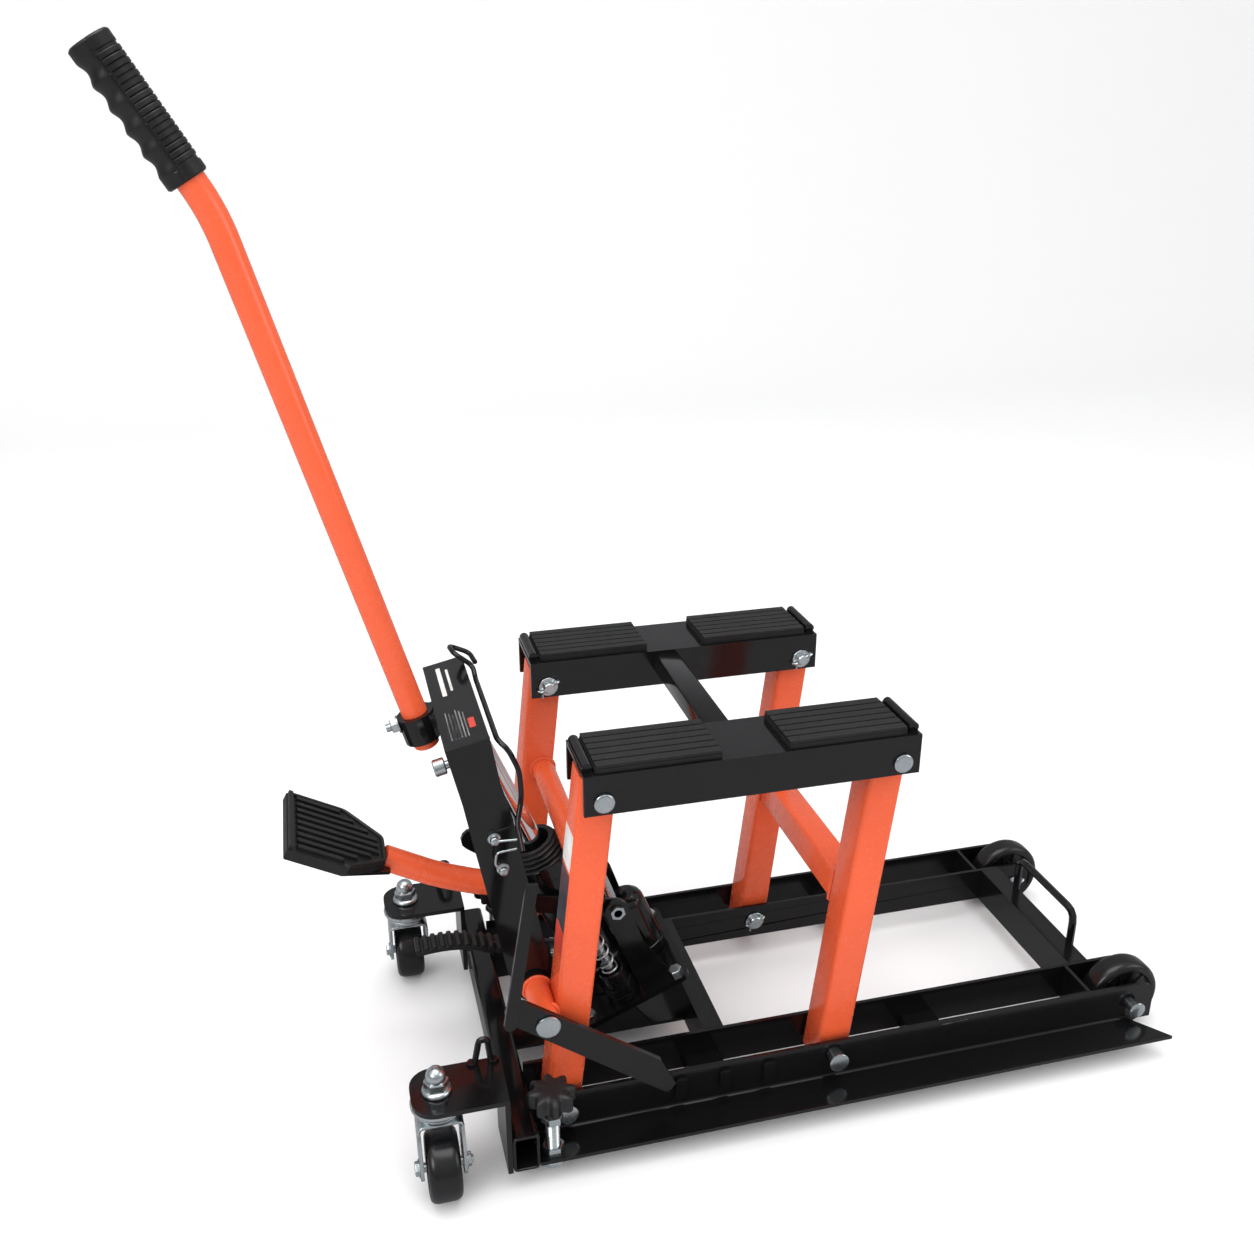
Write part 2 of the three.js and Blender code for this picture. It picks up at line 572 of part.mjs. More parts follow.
put('main_cylinder', standing(union(
  cut(barZ(UX, 0, CYL_R, UZ + 22 + GAP, UZ + GLAND, 36), barZ(UX, 0, BORE_R, UZ + 55, UZ + GLAND + 5, 20)),
  cut(barZ(UX, 0, CYL_R + 3, UZ + 22 + GAP, UZ + 50, 36), barZ(UX, 0, 10, UZ + 40, UZ + 60)),
)), 'black');

function ramBoot() {
  const z = UZ + GLAND + GAP;
  return standing(turned([
    [BORE_R, z], [CYL_R + 2, z], [CYL_R + 3.5, z + 3], [CYL_R - 1, z + 6], [CYL_R + 2, z + 9],
    [CYL_R - 3, z + 12], [CYL_R - 1, z + 15], [CYL_R - 6, z + 19], [BORE_R, z + 19],
  ], 20).translate([UX, 0, 0]));
}
put('ram_boot', ramBoot(), 'rubber');

put('oil_tank', standing(union(
  barZ(UX + 56, 8, 21, UZ + 22 + GAP, UZ + 96, 20),
  barZ(UX + 56, 8, 17, UZ + 95, UZ + 101, 20),
  barZ(UX + 56, 8, 6, UZ + 100, UZ + 106, 16))), 'black');

const PUMP_X = UX + 12;
const PUMP_Y = -46;
put('pump_body', standing(cut(
  union(barZ(PUMP_X, PUMP_Y, 14, UZ + 22 + GAP, UZ + 62, 20),
    bar([PUMP_X, PUMP_Y, UZ + 30], [PUMP_X, PUMP_Y, UZ + 44], 16.5, 16.5, 6)),
  barZ(PUMP_X, PUMP_Y, 11.5, UZ + 46, UZ + 70, 20),
  barZ(PUMP_X, PUMP_Y, 5.5, UZ + 34, UZ + 60, 20))), 'black');

put('pump_plunger', standing(union(
  barZ(PUMP_X, PUMP_Y, 5, UZ + 47, UZ + 128, 16),
  barZ(PUMP_X, PUMP_Y, 9.5, UZ + 124, UZ + 128.3, 16))), 'zinc');

// ram: eye at the top, chrome rod running down into the cylinder
function ramRod() {
  const top = UZ + RAM_LENGTH;
  const eye = barY([UX, top], 13, -15, 15, 20);
  return standing(cut(
    union(eye, barZ(UX, 0, ROD_R, top - 210, top - 4, 20)),
    barY([UX, top], 6.3, -20, 20, 18)));
}
put('ram_rod', ramRod(), 'chrome');

// ---- pump lever and pedals ------------------------------------------------------------------
const PEDAL = [34, 277];
const PEDAL_SLOPE = 28.5;
function pumpLever() {
  const tube = bentRod([[PEDAL[0] - 3, 0, PEDAL[1] + 1.5], [84, 0, 249], [128, 0, 232], [160, 0, 227]],
    13, 26, 20);
  const yokeBlock = box(150, 164, -36, 36, 216, 238);
  const fork = plateY([
    [152, 216], [222, 199], ...arc(FULCRUM[0], FULCRUM[1], 11, 250, 430, 8), [224, 219], [152, 238],
  ], 32, 36);
  const roller = barY([232.5, 202.5], 4, -52, -33, 16);
  const plate = plateZ([
    [PEDAL[0] - 106, -50], [PEDAL[0] - 48, -50], [PEDAL[0] + 4, -20],
    [PEDAL[0] + 4, 20], [PEDAL[0] - 48, 50], [PEDAL[0] - 106, 50],
  ], PEDAL[1] - 6, PEDAL[1] - 2);
  const boltShaft = barY(FULCRUM, 5, -46, 46, 20);
  return union(tube, yokeBlock, fork, mirrored(fork), roller, boltShaft,
    leaned(plate, PEDAL, PEDAL_SLOPE));
}
put('pump_lever', pumpLever(), 'orange');

function pedalPad() {
  const outline = [
    [PEDAL[0] - 108, -55], [PEDAL[0] - 46, -55], [PEDAL[0] - 6, -23],
    [PEDAL[0] - 6, 23], [PEDAL[0] - 46, 55], [PEDAL[0] - 108, 55],
  ];
  const slab = plateZ(outline, PEDAL[1] - 2 + GAP, PEDAL[1] + 9);
  const lip = box(PEDAL[0] - 108, PEDAL[0] - 101, -55, 55, PEDAL[1] + 8, PEDAL[1] + 13);
  const ribs = [];
  for (let i = 0; i < 7; i += 1) {
    const y = -45 + i * 15;
    const front = Math.abs(y) > 25 ? PEDAL[0] - 50 : PEDAL[0] - 12;
    ribs.push(box(PEDAL[0] - 97, front, y - 3.5, y + 3.5, PEDAL[1] + 8, PEDAL[1] + 12));
  }
  const keep = bar([PEDAL[0] - 8, 0, PEDAL[1]], [PEDAL[0] + 20, 0, PEDAL[1]], 13 + GAP, 13 + GAP);
  return leaned(cut(union(slab, lip, ...ribs), keep), PEDAL, PEDAL_SLOPE);
}
put('pump_pedal_pad', pedalPad(), 'rubber');

// release pedal: arched strip on a side arm of the unit
function releasePedal() {
  const strip = [];
  const under = [];
  for (let i = 0; i <= 8; i += 1) {
    const x = 60 + i * 11;
    const z = 128 + 7 * Math.sin((Math.PI * i) / 8) - i * 1.6;
    strip.push([x, z]);
    under.push([x, z - 7]);
  }
  const tread = plateY([...under, ...strip.reverse()], 42, 68);
  const armPlate = plateY([[130, 106], [206, 90], ...arc(210, 98, 9, 270, 450, 6), [134, 118]], 52, 58);
  return cut(union(tread, armPlate), barY([210, 98], 4.3, 40, 70, 20));
}
put('release_pedal', releasePedal(), 'rubber');

function releaseValve() {
  return union(
    barY([210, 98], 4, 42, 61),
    barY([210, 98], 7, 59.5, 62.5, 6),
    bar([209, 45.5, 97.5], [225.7, 24, 105.5], 5.5, 5.5, 16));
}
put('release_bolt', releaseValve(), 'zinc');

// ---- safety lock bars -----------------------------------------------------------------------
const LOCK_Y = 154.6;
function lockBar(withLever) {
  const [x, z] = STUB;
  const flat = cut(plateY([
    ...arc(x - 27, z + 19, 13, 55, 235, 6),
    [x + 119, z - 108], [x + 127, z - 98], [x + 112, z - 66],
  ], LOCK_Y, LOCK_Y + 6), barY(STUB, 8.3, LOCK_Y - 2, LOCK_Y + 9));
  if (!withLever) return flat;
  const lever = plateY([
    ...arc(x - 36, z + 10, 6, 180, 350, 6), [x - 5, z + 160], [x - 16, z + 161],
  ], LOCK_Y + 5.5, LOCK_Y + 9.5);
  return union(flat, lever);
}
put('lock_bar_left', lockBar(false), 'black');
put('lock_bar_right', mirrored(lockBar(true)), 'black');
putBoth('lock_pin', union(
  barY(STUB, 8, YOKE_Y - 9, LOCK_Y + 7),
  barY(STUB, 12, LOCK_Y + 6 + GAP, LOCK_Y + 9.5, 20)), 'zinc');

// pull rod for the locks: up the front of the yoke, across the cap, triangular end
function releaseRod() {
  return bentRod([
    [151, -132, 346], [150, -112, 362], [157, -101, 385], [156, -100.5, 412], [147, -99, 434],
    [138.5, -90, 441], [138.5, 50, 441], [138, 61, 450], [120, 67, 463], [117, 89, 463], [139, 96, 450],
    [142, 74, 448],
  ], 2.6, 7, 6);
}
put('release_rod', releaseRod(), 'black');

export default object;
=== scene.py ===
import math
import bmesh
import bpy
from mathutils import Matrix, Vector, noise


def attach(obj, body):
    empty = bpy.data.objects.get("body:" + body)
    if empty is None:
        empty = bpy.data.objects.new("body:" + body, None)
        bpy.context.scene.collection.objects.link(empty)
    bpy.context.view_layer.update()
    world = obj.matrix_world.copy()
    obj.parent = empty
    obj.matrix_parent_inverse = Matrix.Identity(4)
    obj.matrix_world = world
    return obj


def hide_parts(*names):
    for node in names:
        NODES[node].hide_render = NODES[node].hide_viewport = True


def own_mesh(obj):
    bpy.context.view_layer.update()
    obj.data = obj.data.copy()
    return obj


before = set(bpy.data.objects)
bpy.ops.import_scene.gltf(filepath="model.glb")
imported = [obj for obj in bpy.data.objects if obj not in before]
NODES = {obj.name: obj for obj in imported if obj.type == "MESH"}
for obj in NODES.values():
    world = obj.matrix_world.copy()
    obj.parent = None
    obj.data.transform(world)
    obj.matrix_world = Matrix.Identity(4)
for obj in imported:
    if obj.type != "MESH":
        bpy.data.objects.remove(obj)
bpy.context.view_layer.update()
CX = 359.36                      # the CAD source's X shift, mm
FZ = 7.0                         # the CAD source's floor height, mm


def rad(d):
    return math.radians(d)


# ---------------------------------------------------------------- shapes, in the CAD's millimetres
def axes_of(axis):
    w = Vector(axis).normalized()
    u = w.orthogonal().normalized()
    return u, w.cross(u), w


class Shape:
    def __init__(self):
        self.v = []
        self.f = []

    def move(self, matrix):
        self.v = [matrix @ p for p in self.v]
        return self

    def mirror(self):
        self.v = [Vector((p.x, -p.y, p.z)) for p in self.v]
        self.f = [tuple(reversed(f)) for f in self.f]
        return self

    def join(self, other):
        n = len(self.v)
        self.v += other.v
        self.f += [tuple(i + n for i in f) for f in other.f]
        return self

    def rings(self, rings, seg, closed=False, caps=True):
        """rings of points; a ring of one point is a pole."""
        idx = []
        for r in rings:
            n = len(self.v)
            self.v += [Vector(p) for p in r]
            idx.append(list(range(n, n + len(r))))
        pairs = list(zip(idx, idx[1:])) + ([(idx[-1], idx[0])] if closed else [])
        for a, b in pairs:
            for i in range(seg):
                j = (i + 1) % seg
                if len(a) == 1 and len(b) == 1:
                    continue
                if len(a) == 1:
                    self.f.append((a[0], b[j], b[i]))
                elif len(b) == 1:
                    self.f.append((a[i], a[j], b[0]))
                else:
                    self.f.append((a[i], a[j], b[j], b[i]))
        if caps and not closed:
            if len(idx[0]) > 1:
                self.f.append(tuple(reversed(idx[0])))
            if len(idx[-1]) > 1:
                self.f.append(tuple(idx[-1]))
        return self

    def lathe(self, base, axis, profile, seg=40, closed=False):
        u, v, w = axes_of(axis)
        base = Vector(base)
        rings = []
        for r, s in profile:
            if r < 1e-6:
                rings.append([base + w * s])
            else:
                rings.append([base + w * s + (u * math.cos(2 * math.pi * i / seg)
                              + v * math.sin(2 * math.pi * i / seg)) * r for i in range(seg)])
        return self.rings(rings, seg, closed)

    def hexagon(self, base, axis, across, h, chamfer=0.8, turn=0.0):
        u, v, w = axes_of(axis)
        base = Vector(base)
        r = across / math.sqrt(3)
        rings = []
        for s, k in ((0, 1.0), (h - chamfer, 1.0), (h, 1 - chamfer / r)):
            rings.append([base + w * s + (u * math.cos(turn + math.pi * i / 3)
                          + v * math.sin(turn + math.pi * i / 3)) * r * k for i in range(6)])
        return self.rings(rings, 6)

    def prism(self, outline, origin, u, v, d0, d1):
        u, v, origin = Vector(u), Vector(v), Vector(origin)
        w = u.cross(v)
        n = len(outline)
        rings = [[origin + u * a + v * b + w * d for a, b in outline] for d in (d0, d1)]
        return self.rings(rings, n)

    def plate_y(self, outline, y0, y1):
        """outline of (x, z), between two y."""
        return self.prism([(x, z) for x, z in outline], (0, 0, 0), (1, 0, 0), (0, 0, 1), -y1, -y0)

    def plate_z(self, outline, z0, z1):
        return self.prism(outline, (0, 0, 0), (1, 0, 0), (0, 1, 0), z0, z1)

    def box(self, x0, x1, y0, y1, z0, z1):
        return self.plate_z([(x0, y0), (x1, y0), (x1, y1), (x0, y1)], z0, z1)

    def sweep(self, path, radius, seg=16, closed=False, up=None, section=None):
        pts = [Vector(p) for p in path]
        n = len(pts)
        tan = []
        for i in range(n):
            a = pts[i - 1] if (i or closed) else pts[i]
            b = pts[(i + 1) % n] if (i < n - 1 or closed) else pts[i]
            tan.append((b - a).normalized())
        u = Vector(up) if up else tan[0].orthogonal()
        rings = []
        for i in range(n):
            if i:
                u = tan[i - 1].rotation_difference(tan[i]) @ u
            u = (u - tan[i] * u.dot(tan[i])).normalized()
            v = tan[i].cross(u)
            r = radius(i / (n - 1)) if callable(radius) else radius
            sec = section or [(math.cos(2 * math.pi * k / seg), math.sin(2 * math.pi * k / seg))
                              for k in range(seg)]
            rings.append([pts[i] + (u * a + v * b) * r for a, b in sec])
        return self.rings(rings, len(rings[0]), closed)

    def helix(self, base, axis, r, wire, turns, length, seg=10, steps=22):
        u, v, w = axes_of(axis)
        base = Vector(base)
        n = int(turns * steps)
        path = []
        for i in range(n + 1):
            t = i / n
            flat = min(1.0, max(0.0, (t * turns - 0.9) / max(turns - 1.8, 0.1)))
            a = 2 * math.pi * turns * t
            climb = wire + flat * (length - 2 * wire)
            path.append(base + w * climb + (u * math.cos(a) + v * math.sin(a)) * r)
        return self.sweep(path, wire, seg)


def bend(points, reach, n=8):
    pts = [Vector(p) for p in points]
    out = [pts[0]]
    for i in range(1, len(pts) - 1):
        a, b, c = pts[i - 1], pts[i], pts[i + 1]
        r = min(reach, (a - b).length * 0.48, (c - b).length * 0.48)
        p, q = b + (a - b).normalized() * r, b + (c - b).normalized() * r
        for k in range(n + 1):
            t = k / n
            out.append(p * (1 - t) ** 2 + b * 2 * t * (1 - t) + q * t * t)
    out.append(pts[-1])
    return out


def rounded(x0, x1, y0, y1, r, n=5):
    out = []
    corners = ((x1 - r, y1 - r, 0), (x0 + r, y1 - r, 90), (x0 + r, y0 + r, 180), (x1 - r, y0 + r, 270))
    for cx, cy, a0 in corners:
        for k in range(n + 1):
            a = rad(a0 + 90 * k / n)
            out.append((cx + r * math.cos(a), cy + r * math.sin(a)))
    return out


def hollow(outer, inner, place, d0, d1, lip=0.6):
    """open tube: outer and inner outlines with as many points each; place(u, v, d) gives the point."""
    def grow(ring, k):
        cu = sum(p[0] for p in ring) / len(ring)
        cv = sum(p[1] for p in ring) / len(ring)
        return [(cu + (a - cu) * k, cv + (b - cv) * k) for a, b in ring]
    size = max(p[0] for p in outer) - min(p[0] for p in outer)
    k = 1 - lip / size
    g = 1 + lip / size
    rings = [[place(a, b, d0 + lip) for a, b in outer], [place(a, b, d1 - lip) for a, b in outer],
             [place(a, b, d1) for a, b in grow(outer, k)], [place(a, b, d1) for a, b in grow(inner, g)],
             [place(a, b, d1 - lip) for a, b in inner], [place(a, b, d0 + lip) for a, b in inner],
             [place(a, b, d0) for a, b in grow(inner, g)], [place(a, b, d0) for a, b in grow(outer, k)]]
    s = Shape()
    return s.rings(rings, len(outer), closed=True)


def lean(point, deg):
    p = Vector((point[0], 0, point[1]))
    return Matrix.Translation(p) @ Matrix.Rotation(rad(deg), 4, "Y") @ Matrix.Translation(-p)


def seen_face(sharp_deg):
    def mark(bm):
        for e in bm.edges:
            e.smooth = len(e.link_faces) == 2 and e.calc_face_angle(0) < rad(sharp_deg)
    return mark


def piece(name, shape, body, look, slot, bevel=0.0, replaces=(), sharp=38, segs=2):
    me = bpy.data.meshes.new(name)
    me.from_pydata([((p.x - CX) / 1000, p.y / 1000, (p.z - FZ) / 1000) for p in shape.v], [], shape.f)
    bm = bmesh.new()
    bm.from_mesh(me)
    bmesh.ops.recalc_face_normals(bm, faces=bm.faces)
    for f in bm.faces:
        f.smooth = True
    if not bevel:
        seen_face(sharp)(bm)
    bm.to_mesh(me)
    bm.free()
    ob = bpy.data.objects.new(name, me)
    bpy.context.scene.collection.objects.link(ob)
    me.materials.append(look)
    if bevel:
        add_bevel(ob, bevel, segs)
    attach(ob, body)
    if replaces:
        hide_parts(*([replaces] if isinstance(replaces, str) else replaces))
    return ob


def add_bevel(ob, width, segs=2):
    m = ob.modifiers.new("edge", "BEVEL")
    m.width = width / 1000
    m.segments = segs
    m.limit_method = "ANGLE"
    m.angle_limit = rad(38)
    m.harden_normals = True
    m.use_clamp_overlap = True


def dress(node, look, bevel=0.8, segs=2):
    ob = NODES[node]
    ob.data.materials.clear()
    ob.data.materials.append(look)
    for f in ob.data.polygons:
        f.use_smooth = True
    d = ob.modifiers.new("flat", "DECIMATE")
    d.decimate_type = "DISSOLVE"
    d.angle_limit = rad(0.6)
    if bevel:
        add_bevel(ob, bevel, segs)
    return ob


# ---------------------------------------------------------------- materials
def base_material(name, color, rough, metal=0.0, **socket):
    m = bpy.data.materials.new(name)
    m.use_nodes = True
    nt = m.node_tree
    b = nt.nodes["Principled BSDF"]
    b.inputs["Base Color"].default_value = (*color, 1)
    b.inputs["Roughness"].default_value = rough
    b.inputs["Metallic"].default_value = metal
    for k, v in socket.items():
        b.inputs[k.replace("_", " ")].default_value = v
    tc = nt.nodes.new("ShaderNodeTexCoord")
    return m, nt, b, tc


def noise_node(nt, tc, scale, detail=4, stretch=None, rough=0.55):
    n = nt.nodes.new("ShaderNodeTexNoise")
    n.inputs["Scale"].default_value = scale
    n.inputs["Detail"].default_value = detail
    n.inputs["Roughness"].default_value = rough
    if stretch:
        mp = nt.nodes.new("ShaderNodeMapping")
        mp.inputs["Scale"].default_value = stretch
        nt.links.new(tc.outputs["Object"], mp.inputs["Vector"])
        nt.links.new(mp.outputs["Vector"], n.inputs["Vector"])
    else:
        nt.links.new(tc.outputs["Object"], n.inputs["Vector"])
    return n


def ramp(nt, src, stops):
    r = nt.nodes.new("ShaderNodeValToRGB")
    els = r.color_ramp.elements
    while len(els) < len(stops):
        els.new(0.5)
    for e, (pos, col) in zip(els, stops):
        e.position = pos
        e.color = (*col, 1) if len(col) == 3 else col
    nt.links.new(src, r.inputs["Fac"])
    return r


def spread(nt, src, lo, hi, a=0.3, b=0.7):
    m = nt.nodes.new("ShaderNodeMapRange")
    m.inputs["From Min"].default_value = a
    m.inputs["From Max"].default_value = b
    m.inputs["To Min"].default_value = lo
    m.inputs["To Max"].default_value = hi
    nt.links.new(src, m.inputs["Value"])
    return m


def bumps(nt, b, pairs):
    last = None
    for src, strength, dist in pairs:
        n = nt.nodes.new("ShaderNodeBump")
        n.inputs["Strength"].default_value = strength
        n.inputs["Distance"].default_value = dist
        nt.links.new(src, n.inputs["Height"])
        if last:
            nt.links.new(last.outputs["Normal"], n.inputs["Normal"])
        last = n
    nt.links.new(last.outputs["Normal"], b.inputs["Normal"])


def tinted(nt, b, src, cols):
    r = ramp(nt, src, cols)
    nt.links.new(r.outputs["Color"], b.inputs["Base Color"])


def paint(name, color, rough=0.28, coat=0.35, dark=0.85, grain=0.1):
    m, nt, b, tc = base_material(name, color, rough, 0.0, Coat_Weight=coat, Coat_Roughness=0.08)
    b.inputs["Specular IOR Level"].default_value = 0.42
    big = noise_node(nt, tc, 9, 5)
    fine = noise_node(nt, tc, 420, 3)
    dust = noise_node(nt, tc, 60, 6, rough=0.7)
    lo = tuple(c * dark for c in color)
    hi = tuple(min(1, c * (2 - dark)) for c in color)
    tinted(nt, b, big.outputs["Fac"], [(0.3, lo), (0.52, color), (0.75, hi)])
    r = spread(nt, dust.outputs["Fac"], rough * 0.8, rough * 1.35)
    nt.links.new(r.outputs["Result"], b.inputs["Roughness"])
    bumps(nt, b, [(fine.outputs["Fac"], grain, 0.0002)])
    return m


def metal(name, color, rough, tint=None, scratch=(1, 1, 1)):
    m, nt, b, tc = base_material(name, color, rough, 1.0)
    mott = noise_node(nt, tc, 70, 5)
    fine = noise_node(nt, tc, 500, 4, scratch)
    other = tint or tuple(c * 0.86 for c in color)
    tinted(nt, b, mott.outputs["Fac"], [(0.32, other), (0.62, color)])
    r = spread(nt, mott.outputs["Fac"], rough * 0.85, rough * 1.25)
    nt.links.new(r.outputs["Result"], b.inputs["Roughness"])
    bumps(nt, b, [(fine.outputs["Fac"], 0.02, 0.0002)])
    return m


def soft(name, color, rough, grain=600, strength=0.25, sheen=0.0):
    m, nt, b, tc = base_material(name, color, rough, 0.0, Sheen_Weight=sheen)
    big = noise_node(nt, tc, 22, 5)
    fine = noise_node(nt, tc, grain, 5, rough=0.7)
    low, high = tuple(c * 0.75 for c in color), tuple(c * 1.35 for c in color)
    tinted(nt, b, big.outputs["Fac"], [(0.3, low), (0.7, high)])
    r = spread(nt, big.outputs["Fac"], rough * 0.85, min(1, rough * 1.15))
    nt.links.new(r.outputs["Result"], b.inputs["Roughness"])
    bumps(nt, b, [(fine.outputs["Fac"], strength, 0.0004)])
    return m


BLACK = paint("black_powder_coat", (0.0048, 0.0048, 0.0053), 0.13, 0.1, grain=0.03)
ORANGE = paint("orange_powder_coat", (0.78, 0.108, 0.036), 0.24, 0.22, dark=0.95, grain=0.015)
ZINC = metal("bright_zinc", (0.66, 0.70, 0.72), 0.26, (0.58, 0.65, 0.67))
CHROME = metal("chrome_rod", (0.80, 0.81, 0.83), 0.09, (0.74, 0.75, 0.77), (0.1, 0.1, 3))
RUBBER = soft("black_rubber", (0.0075, 0.0075, 0.008), 0.5, 700, 0.2)
GRIP = soft("grip_rubber", (0.006, 0.0062, 0.0068), 0.36, 900, 0.12)
WHEEL = soft("black_nylon", (0.006, 0.006, 0.0066), 0.26, 500, 0.08)
KNOB = soft("knob_plastic", (0.009, 0.009, 0.0095), 0.4, 800, 0.2)
WHITE = soft("pale_label", (0.72, 0.72, 0.70), 0.45, 300, 0.05)
RED = soft("label_accent", (0.55, 0.05, 0.03), 0.4, 300, 0.05)
GREY = soft("label_dark", (0.05, 0.055, 0.07), 0.35, 300, 0.05)

# ---------------------------------------------------------------- driving places, as in the CAD
REAR = (181, 57)
FRONT = (468, 57)
A = rad(6.4)


def on_arm(foot, t, n=0.0):
    return (foot[0] + t * math.sin(A) + n * math.cos(A), foot[1] + t * math.cos(A) - n * math.sin(A))


STUB = on_arm(REAR, 110, -29.4)
REAR_TOP = on_arm(REAR, 350)
FRONT_TOP = on_arm(FRONT, 350)
UX, UZ = 265, 72
UNIT = lean((UX, UZ), -22.55)
SOCKET = (76, 421)
HL, GL = rad(15.6), rad(30.5)

# ---------------------------------------------------------------- carried-over CAD nodes
for n in ("rail_outer", "rail_inner", "caster_bracket", "beam"):
    for s in ("left", "right"):
        dress(f"{n}_{s}", BLACK, 1.1)
for n in ("mid_cross_member", "front_cross_member", "yoke"):
    dress(n, BLACK, 0.7)
dress("unit_base", BLACK, 0.9)
for s in ("left", "right"):
    dress(f"lock_bar_{s}", BLACK, 0.8)
    for n in ("rear_pad", "front_pad"):
        dress(f"{n}_{s}", RUBBER, 0.9, 2)


def both(name, shape, body_name, look, slot, **k):
    """shape is drawn on the +Y side and mirrored; body_name may hold {s}."""
    nodes = k.pop("nodes", ())
    nodes = [nodes] if isinstance(nodes, str) else list(nodes)
    other = Shape()
    other.v = [p.copy() for p in shape.v]
    other.f = list(shape.f)
    other.mirror()
    for s, sh in (("left", shape), ("right", other)):
        piece(f"{name}_{s}", sh, body_name.format(s=s), look, slot,
              replaces=[f"{n}_{s}" for n in nodes], **k)


# ---------------------------------------------------------------- arms and cross tubes
def arm_tube(foot):
    m = lean(foot, 6.4)
    outer = rounded(foot[0] - 17.5, foot[0] + 17.5, 104, 142, 4.5)
    inner = rounded(foot[0] - 14.5, foot[0] + 14.5, 107, 139, 2.0)
    return hollow(outer, inner, lambda a, b, d: m @ Vector((a, b, d)),
                  foot[1] - 14, foot[1] + 362, 0.5)


def bead(path, r=1.9, wave=0.35):
    """weld bead: a ripple every 2.5 mm."""
    pts = [Vector(p) for p in path]
    out = []
    for a, b in zip(pts, pts[1:]):
        n = max(1, int((b - a).length / 0.8))
        out += [a.lerp(b, i / n) for i in range(n)]
    out.append(pts[-1])
    steps = len(out)

    def swell(t):
        taper = 0.55 + 0.45 * min(1, 12 * t, 12 * (1 - t))
        return r * (1 + wave * abs(math.sin(t * steps))) * taper
    return Shape().sweep(out, swell, 8)


def circle_y(c, r, y, n=28, a0=0, a1=360):
    angles = [rad(a0 + (a1 - a0) * i / n) for i in range(n + 1)]
    return [(c[0] + r * math.cos(a), y, c[1] + r * math.sin(a)) for a in angles]


rear = arm_tube(REAR)
rear.lathe((STUB[0], 0, STUB[1]), (0, 1, 0),
           [(8.4, 89.5), (11.9, 89.5), (12.5, 90.2), (12.5, 152.3), (11.9, 153), (8.4, 153)], 48, closed=True)
both("rear_arm_shell", rear, "rear_arms", ORANGE, "orange_paint", nodes="rear_arm")
both("front_arm_shell", arm_tube(FRONT), "front_arms", ORANGE, "orange_paint", nodes="front_arm")
weld = bead(circle_y(STUB, 13.2, 103.2))
weld.join(bead(circle_y(STUB, 13.2, 142.8, a0=-160, a1=60)))
both("stub_weld", weld, "rear_arms", ORANGE, "orange_paint")
UC = on_arm(REAR, 244, 6)
cross = Shape()
cross.lathe((UC[0], 0, UC[1]), (0, 1, 0), [(12.5, -103.6), (12.5, 103.6)], 40)
piece("rear_cross_tube_shell", cross, "rear_arms", ORANGE, "orange_paint", replaces="rear_cross_tube")
both("cross_tube_weld", bead(circle_y(UC, 13.0, 102.8)), "rear_arms", ORANGE, "orange_paint")
BZ = FRONT[1] + 179
mb = lean(FRONT, 6.4)
brace = hollow(rounded(FRONT[0] - 16, FRONT[0] + 16, BZ - 16, BZ + 16, 3.5),
               rounded(FRONT[0] - 13, FRONT[0] + 13, BZ - 13, BZ + 13, 1.5),
               lambda a, b, d: mb @ Vector((a, d, b)), -103.7, 103.7, 0.3)
piece("front_brace_shell", brace, "front_arms", ORANGE, "orange_paint", replaces="front_brace")
sq = [(FRONT[0] + a, 102.9, BZ + b) for a, b in ((-17, -17), (17, -17), (17, 17), (-17, 17), (-17, -17))]
wb = bead(sq)
wb.move(mb)
both("brace_weld", wb, "front_arms", ORANGE, "orange_paint")

# ---------------------------------------------------------------- base tubes
tube = hollow(rounded(121, 147, 29, 70, 4.5), rounded(124, 144, 32, 67, 2.2),
              lambda a, b, d: Vector((a, d, b)), -191, 191, 0.5)
piece("rear_tube_shell", tube, "frame", BLACK, "black_paint", replaces="rear_tube")
bar = hollow(rounded(337, 363, 408, 430, 3), rounded(340, 360, 411, 427, 1.2),
             lambda a, b, d: Vector((a, d, b)), -88.7, 88.7, 0.4)
piece("platform_bar_shell", bar, "platform", BLACK, "black_paint", replaces="platform_bar")


# rolled fillet in the angle of each outer rail
fil = [(151.02, 35.02), (153.6, 35.02)]
for deg in range(6, 90, 12):
    fil.append((153.6 - 2.5 * math.sin(rad(deg)), 37.6 - 2.5 * math.cos(rad(deg))))
fil.append((151.02, 37.6))
strip = Shape()
strip.prism(fil, (0, 0, 0), (0, 1, 0), (0, 0, 1), 150, 838)
both("rail_fillet", strip, "frame", BLACK, "black_paint", sharp=30)


# ---------------------------------------------------------------- pins
def head(shape, p, y, r, h):
    """domed pin head standing outward from y."""
    prof = [(0, 0), (r - 0.4, 0), (r, 0.5), (r, h - 1.1), (r - 0.9, h - 0.2), (r - 2, h), (0, h)]
    return shape.lathe((p[0], y, p[1]), (0, 1, 0), prof, 44)


def washer(shape, p, y, r, bore, t=1.6):
    prof = [(bore, 0), (r - 0.3, 0), (r, 0.3), (r, t - 0.3), (r - 0.3, t), (bore, t)]
    return shape.lathe((p[0], y, p[1]), (0, 1, 0), prof, 44, closed=True)


